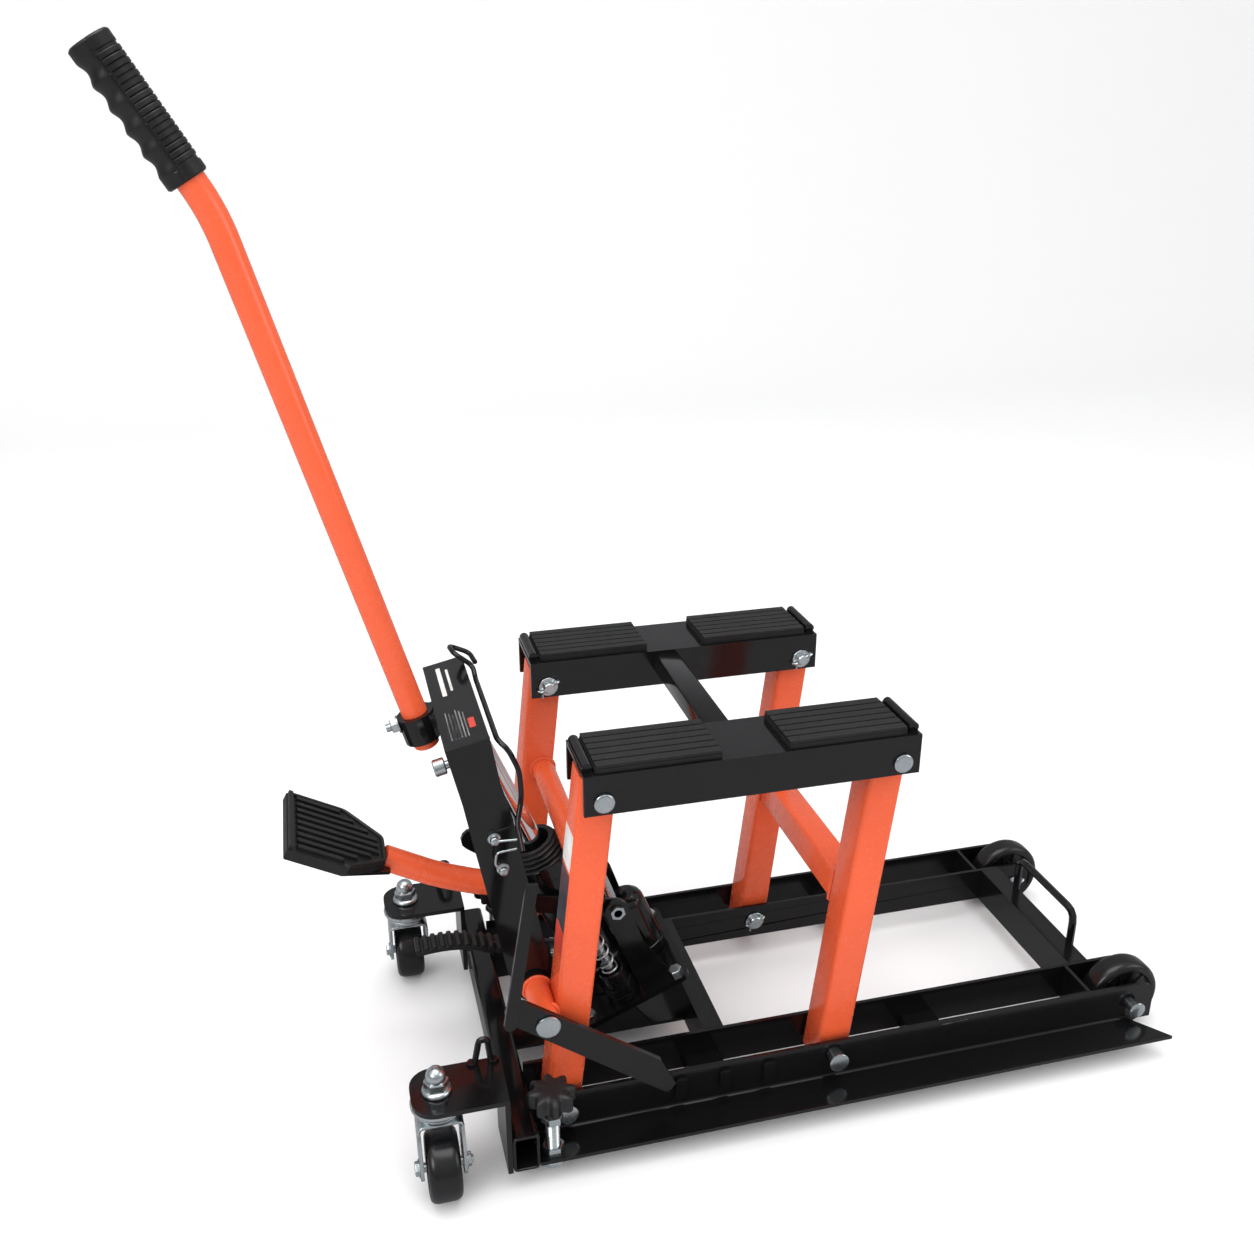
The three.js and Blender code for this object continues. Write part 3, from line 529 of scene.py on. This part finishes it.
def cotter(shape, p, y, r=1.1, spin=35):
    """split pin through a shaft, with its eye and spread legs."""
    d = Vector((math.cos(rad(spin)), 0, math.sin(rad(spin))))
    e = Vector((-math.sin(rad(spin)), 0, math.cos(rad(spin))))
    c = Vector((p[0], y, p[1]))
    side = Vector((0, 1, 0))
    turns = [rad(a) for a in range(200, 521, 20)]
    shape.sweep([c + d * 10 + (d * math.cos(a) + side * math.sin(a)) * 2.6 for a in turns], r, 8)
    for k in (-1, 1):
        leg = [c + d * 8 + side * k * 0.8, c - d * 8.6 + side * k * 0.8,
               c - d * 12 + e * 4 * k + side * k * 1.5]
        shape.sweep(bend(leg, 2.0, 4), r, 8)
    return shape


def pin_piece(node, p, body, r, ends, head_r, head_h, washer_y):
    """shaft from ends[0] to ends[1] with its head, washer and split pin."""
    y_in, y_out = ends
    s = Shape()
    shaft = [(0, y_in), (r - 1, y_in), (r, y_in + 1), (r, y_out + 0.5), (0, y_out + 0.5)]
    s.lathe((p[0], 0, p[1]), (0, 1, 0), shaft, 36)
    head(s, p, y_out, head_r, head_h)
    washer(s, p, washer_y, head_r + 0.8, r)
    cotter(s, p, y_in + 2.6)
    both(f"{node}_shell", s, body, ZINC, "zinc", nodes=node)


WHEEL_AT = (822, 50)             # fixed wheel axle, x and z
for foot, at in (("rear", REAR_TOP), ("front", FRONT_TOP)):
    pin_piece(f"{foot}_upper_pin", at, "platform", 6, (80.5, 164.3), 9.4, 3.8, 86.6)
for foot, at in (("rear", REAR), ("front", FRONT)):
    pin_piece(f"{foot}_lower_pin", at, "frame", 8, (89.5, 158.5), 10.6, 3, 94.6)
pin_piece("wheel_axle", WHEEL_AT, "frame", 6, (89.5, 159), 9.6, 3, 94.6)
# lock pins, stepped heads on the stub tubes
lp = Shape()
lp.lathe((STUB[0], 0, STUB[1]), (0, 1, 0), [(0, 88), (7, 88), (8, 89), (8, 160.9), (0, 160.9)], 36)
head(lp, STUB, 160.9, 12, 3.4)
both("lock_pin_shell", lp, "lock_pins", ZINC, "zinc", nodes="lock_pin")


# ---------------------------------------------------------------- fixed wheels
RIB_FACES = ((0, 1, 3, 2), (4, 6, 7, 5), (0, 2, 6, 4), (1, 5, 7, 3), (2, 3, 7, 6), (0, 4, 5, 1))


def wheel_shape(r, w, bore, hub, ribs, axis, centre, seg=72):
    """moulded tread, boss and side ribs."""
    h = w / 2
    edge = [(r - 12, 5), (r - 10.5, 3.6), (r - 9, 1.2), (r - 6.5, 0.4), (r - 3.5, 1.2), (r - 1.4, 3.2),
            (r - 0.3, 6), (r, 8.5)]
    tread = [(hub + 6, -h + 5)] + [(a, -h + b) for a, b in edge]
    tread += [(a, h - b) for a, b in reversed(edge)] + [(hub + 6, h - 5)]
    s = Shape()
    s.lathe(centre, axis, tread, seg, closed=True)
    boss = [(bore, -h), (hub - 1, -h), (hub, -h + 1), (hub + 1.2, -h + 6),
            (hub + 1.2, h - 6), (hub, h - 1), (hub - 1, h), (bore, h)]
    s.lathe(centre, axis, boss, 48, closed=True)
    u, v, w_ = axes_of(axis)
    c = Vector(centre)
    for i in range(ribs):
        a = 2 * math.pi * i / ribs
        d = u * math.cos(a) + v * math.sin(a)
        t = v * math.cos(a) - u * math.sin(a)
        r0, r1 = hub - 0.5, r - 11
        for k in (-1, 1):
            pts = []
            for q, e in ((r0, 1.7), (r1, 1.3)):
                for dep in (h - 5.5, h - 2.2 if q == r0 else h - 3.4):
                    pts.append((q, e, dep))
            v8 = [c + d * q + t * e * m + w_ * k * dep for q, e, dep in pts for m in (-1, 1)]
            n = len(s.v)
            s.v += v8
            s.f += [tuple(n + j for j in f) for f in RIB_FACES]
    return s


def upright(shape, x, y, profile, seg):
    """turned shape about a vertical line through (x, y)."""
    return shape.lathe((x, y, 0), (0, 0, 1), profile, seg)


CAST_X, CAST_Y = 56, 160         # swivel axis of a caster
AXLE_Y, AXLE_Z = 174, 34         # its axle, above the floor
FRONT_WHEEL = wheel_shape(43, 28, 6.3, 14, 12, (0, 1, 0), (WHEEL_AT[0], 124, WHEEL_AT[1]))
CASTER_WHEEL = wheel_shape(34, 32, 5.3, 11, 0, (1, 0, 0), (CAST_X, AXLE_Y, AXLE_Z + FZ), 64)
both("front_wheel_shell", FRONT_WHEEL, "front_wheel_{s}", WHEEL, "wheel_plastic", nodes="front_wheel")
both("caster_wheel_shell", CASTER_WHEEL, "caster_wheel_{s}", WHEEL, "wheel_plastic", nodes="caster_wheel")

# ---------------------------------------------------------------- casters
# drawn over z = 0, then lifted to the floor's drawing height
cf = Shape()
STRIP = 3.4
for side in (-1, 1):
    leg = [(142.2, 79), (144.5, 66), (152, 50)]
    leg += [(AXLE_Y + 12 * math.cos(rad(a)), AXLE_Z + 12 * math.sin(rad(a))) for a in range(200, 361, 10)]
    leg += [(187, 50), (185, 66), (178.8, 79)]
    cf.prism(leg, (CAST_X + side * 20.5, 0, 0), (0, 1, 0), (0, 0, 1), -STRIP / 2, STRIP / 2)
saddle = [(-20.5, 74), (-20.5, 84), (0, 84.4), (20.5, 84), (20.5, 74)]
saddle = bend([(CAST_X + x, CAST_Y + 0.5, z) for x, z in saddle], 9, 8)
cf.sweep(saddle, 1.0, up=(0, 1, 0), section=rounded(-18.5, 18.5, -1.7, 1.7, 1.5, 3))
race = [(0, 85), (17, 85), (20, 86), (22.5, 89), (23.2, 92), (22.4, 93.4), (24.4, 94.2), (26, 96.4),
        (26.2, 99), (25.2, 101.2), (22, 103), (18.5, 104), (17.5, 104.6), (0, 104.6)]
collar = [(0, 110.4), (13.4, 110.4), (14.2, 111), (14.4, 112.4), (13.6, 114.2), (11.6, 115.4), (0, 115.4)]
dome = [(0, 123), (9.3, 123), (9.7, 124), (9.6, 129), (8.6, 132.6), (6.2, 135.4), (3.0, 136.8), (0, 137.2)]
upright(cf, CAST_X, CAST_Y, race, 64)
upright(cf, CAST_X, CAST_Y, [(0, 100), (6, 100), (6, 128), (0, 128)], 24)
upright(cf, CAST_X, CAST_Y, collar, 48)
cf.hexagon((CAST_X, CAST_Y, 114.6), (0, 0, 1), 21, 10.4, 1.6, 0.3)
upright(cf, CAST_X, CAST_Y, dome, 40)
for side in (-1, 1):
    cf.lathe((CAST_X + side * 22.3, AXLE_Y, AXLE_Z), (side, 0, 0),
             [(0, 0), (8.4, 0), (8.6, 0.3), (8.6, 1.2), (0, 1.3)], 32)
    cf.hexagon((CAST_X + side * 23.5, AXLE_Y, AXLE_Z), (side, 0, 0), 12.5, 3.4, 0.6, 0.4)
cf.lathe((CAST_X - 24, AXLE_Y, AXLE_Z), (1, 0, 0), [(0, 0), (4.6, 0), (4.6, 48), (0, 48)], 24)
cf.lathe((CAST_X + 26.6, AXLE_Y, AXLE_Z), (1, 0, 0), [(0, 0), (4.2, 0), (3.6, 2.2), (0, 2.4)], 24)
cf.move(Matrix.Translation((0, 0, FZ)))
both("caster_fork_shell", cf, "caster_{s}", ZINC, "zinc", nodes="caster_fork", bevel=0.5)

# ---------------------------------------------------------------- floor screws and knobs
KX, KY = 162, 178
LOBES = 8
turn = [2 * math.pi * i / 96 for i in range(96)]
knob_r = [20.2 + 3.8 * max(-0.75, math.cos(LOBES * a)) for a in turn]
knob = Shape()
rings = []
for k, z in ((0.80, 92.0), (0.94, 93.2), (1.0, 95.5), (1.0, 106.5), (0.95, 109),
             (0.82, 110.6), (0.55, 111)):
    rings.append([Vector((KX + q * k * math.cos(a), KY + q * k * math.sin(a), z))
                  for q, a in zip(knob_r, turn)])
knob.rings([[Vector((KX, KY, 92.0))]] + rings + [[Vector((KX, KY, 110.8))]], 96)
upright(knob, KX, KY, [(0, 80), (9, 80), (9.6, 81), (11, 88), (15, 92.5), (0, 92.5)], 40)
both("floor_screw_knob", knob, "floor_screw_{s}", KNOB, "knob_plastic", nodes="floor_screw")
scr = Shape()
thread = [(0, 26), (5, 26), (6.2, 27)]
z = 31.0
while z < 80:
    thread += [(7.0, z), (6.1, z + 0.9)]
    z += 1.8
thread += [(6.1, 81), (0, 81)]
upright(scr, KX, KY, thread, 32)
upright(scr, KX, KY, [(0, 23.5), (11.4, 23.5), (12, 24.1), (12, 28.4), (11, 29.5), (0, 29.6)], 40)
scr.hexagon((KX, KY, 73), (0, 0, 1), 19, 7, 1.0, 0.2)
both("floor_screw_thread", scr, "floor_screw_{s}", ZINC, "zinc")


def hex_ring(cx, cy, half, bore, z0, z1, lip=0.7):
    """upright hexagon with a round hole."""
    rim, hole = [], []
    for i in range(24):
        a = rad(15 * i)
        k = half / math.cos((a % rad(60)) - rad(30))
        rim.append((cx + k * math.cos(a), cy + k * math.sin(a)))
        hole.append((cx + bore * math.cos(a), cy + bore * math.sin(a)))
    return hollow(rim, hole, lambda a, b, d: Vector((a, b, d)), z0, z1, lip)


both("rail_weld_nut", hex_ring(KX, KY, 9.6, 7.7, 35.1, 43.5), "frame", ZINC, "zinc", sharp=25)


# ---------------------------------------------------------------- handle
def along(p, a, s):
    return (p[0] - math.sin(a) * s, p[1] + math.cos(a) * s)


low = along(SOCKET, HL, -22)
knee = along(SOCKET, HL, 492)
grip_low = along(knee, GL, 28)
tube_end = along(knee, GL, 137)
h = Shape()
h.sweep(bend([(x, 0, z) for x, z in (low, knee, tube_end)], 24, 14), 12.5, 44)
plug = [(0, -0.5), (12.2, -0.5), (11.2, 1.2), (8, 1.9), (0, 2.2)]
h.lathe((low[0], 0, low[1]), (math.sin(HL), 0, -math.cos(HL)), plug, 40)
piece("handle_tube_shell", h, "handle", ORANGE, "orange_paint", replaces="handle_tube", sharp=50)


def grip_radius(s, a, length):
    """ribbed front half, smooth back half with five shallow finger scallops."""
    c = math.cos(a)
    front = 15.3
    if 13 < s < length - 13:
        k = ((s - 13) / ((length - 26) / 18)) % 1.0
        front += 1.15 * min(1.0, 3.2 * math.sin(math.pi * k) ** 1.4)
    if s < 10 or s > length - 11:
        front = 16.4
    rear = 15.2 + 4.2 * max(0.0, -c) ** 1.5
    if 12 < s < length - 10:
        k = ((s - 12) / ((length - 22) / 5)) % 1.0
        rear -= 2.9 * math.sin(math.pi * k) ** 1.6 * max(0.0, -c) ** 0.8
    if s < 10 or s > length - 9:
        rear = max(rear, 16.4)
    t = min(1.0, max(0.0, (c + 0.16) / 0.14))
    return rear + (front - rear) * t - (0.9 if abs(c + 0.09) < 0.05 else 0.0)


GRIP_LONG = 117.0
GRIP_RINGS = 234
GRIP_SEG = 96
rings = []
for k in range(GRIP_RINGS + 1):
    s = GRIP_LONG * k / GRIP_RINGS
    edge = min(1.0, 0.90 + 0.10 * min(1.0, min(s, GRIP_LONG - s) / 1.6))
    ring_pts = []
    for i in range(GRIP_SEG):
        a = 2 * math.pi * i / GRIP_SEG
        rr = grip_radius(s, a, GRIP_LONG) * edge
        ring_pts.append(Vector((rr * math.cos(a), rr * math.sin(a), s)))
    rings.append(ring_pts)
g = Shape()
g.rings([[Vector((0, 0, 0))]] + rings + [[Vector((0, 0, GRIP_LONG))]], GRIP_SEG)
g.move(Matrix.Translation((grip_low[0], 0, grip_low[1])) @ Matrix.Rotation(-GL, 4, "Y"))
piece("handle_grip_shell", g, "handle", GRIP, "rubber", replaces="handle_grip", sharp=50)

# clamp bolt in the socket
d = (-math.cos(HL), 0, -math.sin(HL))
up_handle = Vector((-math.sin(HL), 0, math.cos(HL)))
cb = Shape()
at = Vector((SOCKET[0], 0, SOCKET[1])) + Vector(d) * 17.5 + up_handle * 8
cb.lathe(at, d, [(0, 0), (9, 0), (9, 1.6), (4, 1.6), (4, 13), (0, 13)], 30)
cb.hexagon(at + Vector(d) * 1.7, d, 13, 6.2, 0.8, 0.3)
piece("socket_bolt", cb, "yoke", ZINC, "zinc", bevel=0.2)

# ---------------------------------------------------------------- hydraulic unit
# drawn standing over the unit's pivot, then leaned back by UNIT
def unit_piece(name, shape, body, look, slot, **k):
    return piece(name, shape.move(UNIT), body, look, slot, **k)


def over_unit(shape, x, y, profile, seg, **k):
    return shape.lathe((x, y, UZ), (0, 0, 1), profile, seg, **k)


cyl = Shape()
over_unit(cyl, UX, 0, [(19, 60), (19, 200), (27, 200), (28, 199), (28, 56), (30.4, 54.5), (31, 53.5),
                       (31, 24), (30, 22.3), (0, 22.3), (0, 60)], 64)
over_unit(cyl, UX, 0, [(28.05, 182), (30.2, 182), (30.8, 182.8), (30.8, 198.6), (30, 199.6), (28.05, 199.6)],
          64, closed=True)
unit_piece("main_cylinder_shell", cyl, "hydraulic_unit", BLACK, "black_paint",
           replaces="main_cylinder", sharp=30)
prof = [(19.2, 200.3)]
for k in range(61):
    t = k / 60
    fold = 2.4 * math.sin(2 * math.pi * 4.2 * t) * (1 - 0.4 * t)
    prof.append((30.5 - 7.5 * t + fold, 200.3 + 18.7 * t))
prof.append((19.2, 219))
boot = over_unit(Shape(), UX, 0, prof, 72, closed=True)
for i, p in enumerate(boot.v):
    o = Vector((p.x - UX, p.y, 0))
    if o.length > 20:
        k = 1 + 0.05 * noise.noise(Vector((p.x * 0.13, p.y * 0.13, p.z * 0.30)))
        boot.v[i] = Vector((UX + o.x * k, o.y * k, p.z))
unit_piece("ram_boot_shell", boot, "hydraulic_unit", RUBBER, "rubber", replaces="ram_boot", sharp=70)
TANK_X, TANK_Y = UX + 56, 8
tank = Shape()
over_unit(tank, TANK_X, TANK_Y, [(0, 22.3), (20, 22.3), (21, 23.3), (21, 90), (19.6, 94.6), (16.8, 98),
                                 (14, 100.4), (6, 101), (6, 104.6), (5, 106), (0, 106)], 48)
over_unit(tank, TANK_X, TANK_Y, [(21.05, 30), (21.9, 30.4), (21.9, 34.6), (21.05, 35)], 48, closed=True)
unit_piece("oil_tank_shell", tank, "hydraulic_unit", BLACK, "black_paint", replaces="oil_tank", sharp=35)
PX, PY = UX + 12, -46            # pump bore
pb = Shape()
over_unit(pb, PX, PY, [(5.5, 36), (5.5, 46), (11.5, 46), (11.5, 62), (13.2, 62), (14, 61.2), (14, 23),
                       (13.3, 22.3), (0, 22.3), (0, 36)], 44)
pb.join(hex_ring(PX, PY, 14.25, 8, UZ + 30, UZ + 44, 1.2))
unit_piece("pump_body_shell", pb, "hydraulic_unit", BLACK, "black_paint", replaces="pump_body", sharp=35)
plunger = [(0, 47.4), (4.4, 47.4), (5, 47.6), (5, 124), (8.6, 124), (9.5, 124.6), (9.5, 127.6),
           (8.8, 128.3), (0, 128.3)]
unit_piece("pump_plunger_shell", over_unit(Shape(), PX, PY, plunger, 36), "plunger", ZINC, "zinc",
           replaces="pump_plunger", sharp=35)
SPRING_FOOT = (PX, PY, UZ + 62.4)
spring = unit_piece("plunger_spring", Shape().helix(SPRING_FOOT, (0, 0, 1), 8.2, 1.25, 6.4, 60.6),
                    "hydraulic_unit", ZINC, "zinc", sharp=80)
foot = UNIT @ Vector(SPRING_FOOT)
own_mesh(spring)
top = UZ + 375                   # ram eye
rod = upright(Shape(), UX, 0, [(0, top - 210), (11, top - 210), (12, top - 209), (12, top - 8),
                               (0, top - 8)], 56)
unit_piece("ram_rod_shell", rod, "ram", CHROME, "chrome", replaces="ram_rod", sharp=35)
eye = Shape()
eye.lathe((UX, -15, top), (0, 1, 0), [(6.3, 0), (12.4, 0), (13, 0.6), (13, 29.4), (12.4, 30), (6.3, 30)],
          40, closed=True)
upright(eye, UX, 0, [(0, top - 28), (12.6, top - 28), (13.2, top - 27), (13.2, top - 9), (0, top - 9)], 40)
unit_piece("ram_eye", eye, "ram", BLACK, "black_paint", sharp=35)

# bolts of the base plate
bb = Shape()
for x, y in ((UX - 30, 52), (UX - 30, -52), (UX + 72, 52), (UX + 72, -52)):
    bb.hexagon((x, y, UZ + 22), (0, 0, 1), 13, 5.2, 0.7, 0.1)
unit_piece("base_plate_bolts", bb, "hydraulic_unit", ZINC, "zinc")

# release valve stem, in line with the pedal's hinge
rv = Shape()
rv.lathe((210, 0, 98), (0, 1, 0), [(0, 42), (4, 42), (4, 60), (0, 60)], 24)
rv.hexagon((210, 59.3, 98), (0, 1, 0), 12.6, 3.4, 0.6)
q0, q1 = Vector((209, 45.5, 97.5)), Vector((225.7, 24, 105.5))
long = (q1 - q0).length
rv.lathe(q0, q1 - q0, [(0, 0), (4.9, 0), (5.5, 0.6), (5.5, long), (0, long)], 28)
piece("release_bolt_shell", rv, "hydraulic_unit", ZINC, "zinc", replaces="release_bolt", sharp=35)

# ---------------------------------------------------------------- pump lever and pedal
PED = (34, 277)                  # upper end of the lever tube, x and z
FUL = (261.5, 200.5)             # fulcrum
lev = Shape()
lev.sweep(bend([(PED[0] - 3, 0, PED[1] + 1.5), (84, 0, 249), (128, 0, 232), (160, 0, 227)], 17, 10), 13, 36)
piece("pump_lever_shell", lev, "pump_lever", ORANGE, "orange_paint", replaces="pump_lever", sharp=50)
lev = Shape()
fork = [(152, 216), (222, 199)]
fork += [(FUL[0] + 11 * math.cos(rad(a)), FUL[1] + 11 * math.sin(rad(a))) for a in range(250, 431, 12)]
fork += [(224, 219), (152, 238)]
for y0 in (32, -36):
    lev.plate_y(fork, y0, y0 + 4)
lev.box(150, 164, -36, 36, 216, 238)
piece("pump_lever_fork", lev, "pump_lever", BLACK, "black_paint", bevel=0.6)
rl = Shape()
rl.lathe((232.5, 0, 202.5), (0, 1, 0), [(0, -52), (3.4, -52), (4, -51.4), (4, -33), (0, -33)], 28)
rl.lathe((FUL[0], 0, FUL[1]), (0, 1, 0), [(0, -46), (4.4, -46), (5, -45.4), (5, 45.4), (4.4, 46),
                                          (0, 46)], 28)
for y in (-46, 42.2):
    rl.hexagon((FUL[0], y, FUL[1]), (0, 1, 0), 14, 3.8, 0.5)
piece("fulcrum_bolt", rl, "pump_lever", ZINC, "zinc", sharp=35)
slope = lean(PED, 28.5)


def pedal_outline(points):
    """half outline, closed by its mirror image."""
    half = [(PED[0] + a, b) for a, b in points]
    return half + [(a, -b) for a, b in reversed(half)]


pp = Shape()
pp.plate_z(pedal_outline([(-106, -50), (-48, -50), (4, -20)]), PED[1] - 6, PED[1] - 2)
pp.move(slope)
piece("pedal_plate", pp, "pump_lever", BLACK, "black_paint", bevel=0.6)
outl = pedal_outline([(-108, -55), (-46, -55), (-6, -23)])
RIM_Z = PED[1] + 8.6
pad = Shape()
pad.plate_z(outl, PED[1] - 1.7, PED[1] + 7.5)
inset = [(PED[0] - 55 + (a - PED[0] + 55) * 0.972, b * 0.972, RIM_Z) for a, b in outl]
pad.sweep([Vector((*outl[1], RIM_Z))] + bend(inset, 5, 4)[1:], 1.9, 10)
pad.box(PED[0] - 107, PED[0] - 102.5, -53, 53, PED[1] + 7, PED[1] + 12.6)
for i in range(9):               # raised ribs, each as long as the pad is there
    y = -46 + i * 11.5
    front = PED[0] - 50 - (abs(y) - 46) * 1.25 if abs(y) > 19 else PED[0] - 12
    front = min(front, PED[0] - 12)
    foot, crown = PED[1] + 7, PED[1] + 10.6
    pad.plate_y([(PED[0] - 99, foot), (front, foot), (front - 2.5, crown), (PED[0] - 98, crown)],
                y - 2.8, y + 2.8)
pad.move(slope)
piece("pump_pedal_pad_shell", pad, "pump_lever", RUBBER, "rubber", replaces="pump_pedal_pad", bevel=1.3)

# release pedal: an arched, toothed tread on a flat arm
tread, under = [], []
for i in range(11):
    x = 60 + i * 8.8
    base = 126.5 + 7 * math.sin(math.pi * i / 10) - i * 1.25
    tread += [(x - 3.0, base), (x - 2.2, base + 3.0), (x + 2.2, base + 3.0), (x + 3.0, base)]
    under.append((x, base - 5.5))
rp = Shape()
rp.plate_y(under + tread[::-1], 42, 68)
hinge_end = [(210 + 9 * math.cos(rad(a)), 98 + 9 * math.sin(rad(a))) for a in range(270, 451, 15)]
rp.plate_y([(130, 106), (206, 90)] + hinge_end + [(134, 118)], 52, 58)
piece("release_pedal_shell", rp, "release_pedal", RUBBER, "rubber", replaces="release_pedal", bevel=0.9)

# ---------------------------------------------------------------- release rod, clips, labels
rod_way = [(151, -132, 346), (150, -112, 362), (157, -101, 385), (156, -100.5, 412),
           (147, -99, 434), (138.5, -90, 441), (138.5, 50, 441), (138, 61, 450),
           (120, 67, 463), (117, 89, 463), (139, 96, 450), (142, 74, 448)]
rr = Shape()
rr.sweep(bend(rod_way, 8, 7), 2.6, 14)
piece("release_rod_shell", rr, "yoke", BLACK, "black_paint", replaces="release_rod", sharp=80)

clip = Shape()
for x, z in ((130, 343), (137, 309)):
    clip.lathe((x, -96.5, z), (0, -1, 0), [(0, 0), (5.6, 0), (6, 0.5), (6, 2.2), (4.2, 3),
                                           (4.2, 8), (3.6, 8.8), (0, 9)], 28)
clip.sweep([(130, -103.5, 343), (150, -108.5, 345)], 1.2, 10)
clip.sweep(bend([(137, -103.5, 309), (129, -104, 318), (131, -104, 331), (150, -105, 333)], 4, 5), 1.2, 10)
piece("bail_clip", clip, "yoke", ZINC, "zinc", sharp=60)
knurl = Shape()
knurl.lathe((99, -62, 408), (-0.973, 0, -0.23), [(0, 0), (4, 0), (4, 6), (7.6, 6.4), (8.2, 7.2),
                                                 (8.2, 16.6), (7.4, 17.6), (0, 17.8)], 20)
piece("yoke_set_screw", knurl, "yoke", ZINC, "zinc", sharp=35)

# plain blank label panels on the cap and on the near rear arm
CAP = (90, 438)                  # rear edge of the cap's top, x and z
cap_tilt = lean(CAP, -12.38)


def cap_panel(name, look, x0, x1, y0, y1):
    s = Shape()
    s.plate_z(rounded(CAP[0] + x0, CAP[0] + x1, y0, y1, 1.0, 3), CAP[1] + 0.05, CAP[1] + 0.3)
    s.move(cap_tilt)
    return piece(name, s, "yoke", look, "black_paint", sharp=30)


cap_panel("cap_label_bar_a", WHITE, 12, 16.5, 14, 82)
cap_panel("cap_label_bar_b", WHITE, 21, 23.6, 22, 74)
for i in range(6):
    cap_panel(f"cap_label_line_{i}", WHITE, 9 + i * 3.2, 9.9 + i * 3.2, -80, -22 - 4 * (i % 3))
cap_panel("cap_label_chip", RED, 28, 34, -66, -46)


def arm_panel(name, look, t0, t1):
    """panel on the arm's rear face, from t0 to t1 above the arm's pivot."""
    s = Shape()
    corners = ((t0, -138), (t1, -138), (t1, -108), (t0, -108))
    s.rings([[Vector((REAR[0] - 17.5 - off, y, REAR[1] + t)) for t, y in corners]
             for off in (0.02, 0.25)], 4)
    s.move(lean(REAR, 6.4))
    return piece(name, s, "rear_arms", look, "orange_paint", sharp=30)


arm_panel("arm_label_top", WHITE, 262, 300)
arm_panel("arm_label_mid", GREY, 196, 258)
arm_panel("arm_label_low", RED, 168, 194)

# small nuts at the feet of the tie loops
for side, y in (("left", 186), ("right", -133)):
    nuts = Shape()
    for x in (92.5, 114):
        nuts.hexagon((x, y, 117), (0, 0, 1), 9, 3.2, 0.5)
    piece(f"tie_loop_nuts_{side}", nuts, "frame", BLACK, "black_paint")

# ---------------------------------------------------------------- floor, light, camera
# the floor curls up into a wall behind, like a paper backdrop
WALL_Y, CURL = 3.2, 1.6
side_view = [(-6.0, 0.0), (WALL_Y, 0.0)]
for k in range(1, 13):
    a = rad(90 * k / 12)
    side_view.append((WALL_Y + CURL * math.sin(a), CURL - CURL * math.cos(a)))
side_view.append((WALL_Y + CURL, 9.0))
corners, faces = [], []
for y, z in side_view:
    corners += [(-12, y, z), (12, y, z)]
for i in range(len(side_view) - 1):
    faces.append((2 * i, 2 * i + 1, 2 * i + 3, 2 * i + 2))
paper = bpy.data.meshes.new("floor")
paper.from_pydata(corners, [], faces)
for f in paper.polygons:
    f.use_smooth = True
floor = bpy.data.objects.new("floor", paper)
bpy.context.scene.collection.objects.link(floor)


def unless_reflected(tree, plain, reflected, output):
    """the plain shader, and the other one where it's seen in a glossy surface."""
    ray = tree.nodes.new("ShaderNodeLightPath")
    mix = tree.nodes.new("ShaderNodeMixShader")
    tree.links.new(ray.outputs["Is Glossy Ray"], mix.inputs["Fac"])
    tree.links.new(plain, mix.inputs[1])
    tree.links.new(reflected, mix.inputs[2])
    tree.links.new(mix.outputs["Shader"], tree.nodes[output].inputs["Surface"])


pale, nt, shader, _ = base_material("pale_floor", (0.93, 0.93, 0.935), 0.75)
shader.inputs["Specular IOR Level"].default_value = 0.15
# painted reflection: where the floor is seen in glossy surfaces it is painted a darker grey, 0.34 instead of
# 0.93
dark = nt.nodes.new("ShaderNodeBsdfDiffuse")
dark.inputs["Color"].default_value = (0.34, 0.34, 0.35, 1)
unless_reflected(nt, shader.outputs["BSDF"], dark.outputs["BSDF"], "Material Output")
paper.materials.append(pale)

world = bpy.data.worlds.new("studio")
world.use_nodes = True
wn = world.node_tree
plain = wn.nodes["Background"]
plain.inputs["Color"].default_value = (1, 1, 1, 1)
plain.inputs["Strength"].default_value = 0.93
sky = wn.nodes.new("ShaderNodeTexCoord")
split = wn.nodes.new("ShaderNodeSeparateXYZ")
wn.links.new(sky.outputs["Generated"], split.inputs["Vector"])
fade = spread(wn, split.outputs["Z"], 0.22, 0.85, 0.0, 0.95)
dim = wn.nodes.new("ShaderNodeBackground")
wn.links.new(fade.outputs["Result"], dim.inputs["Strength"])
unless_reflected(wn, plain.outputs["Background"], dim.outputs["Background"], "World Output")
bpy.context.scene.world = world


def area(name, loc, power, width, depth):
    lamp = bpy.data.lights.new(name, "AREA")
    lamp.energy = power
    lamp.size = width
    lamp.shape = "RECTANGLE"
    lamp.size_y = depth
    o = bpy.data.objects.new(name, lamp)
    o.location = loc
    return o


def aim(o, target):
    o.rotation_euler = (Vector(target) - o.location).to_track_quat("-Z", "Y").to_euler()
    bpy.context.scene.collection.objects.link(o)


aim(area("top_soft", (-0.2, -0.3, 3.2), 46, 2.6, 2.2), (0, 0, 0.2))
aim(area("key_left", (-2.4, -1.9, 2.3), 34, 1.6, 1.6), (0, 0, 0.25))
aim(area("fill_right", (2.6, -1.4, 1.5), 14, 1.6, 1.6), (0, 0, 0.25))

cam = bpy.data.cameras.new("camera")
cam.sensor_width = 36
cam.lens = 35.61
co = bpy.data.objects.new("camera", cam)
co.location = (-0.35772, -1.0927, 0.9520)
co.rotation_euler = (rad(67.90), rad(0.21), rad(-14.57))
bpy.context.scene.collection.objects.link(co)
bpy.context.scene.camera = co
bpy.context.scene.view_settings.view_transform = "Standard"
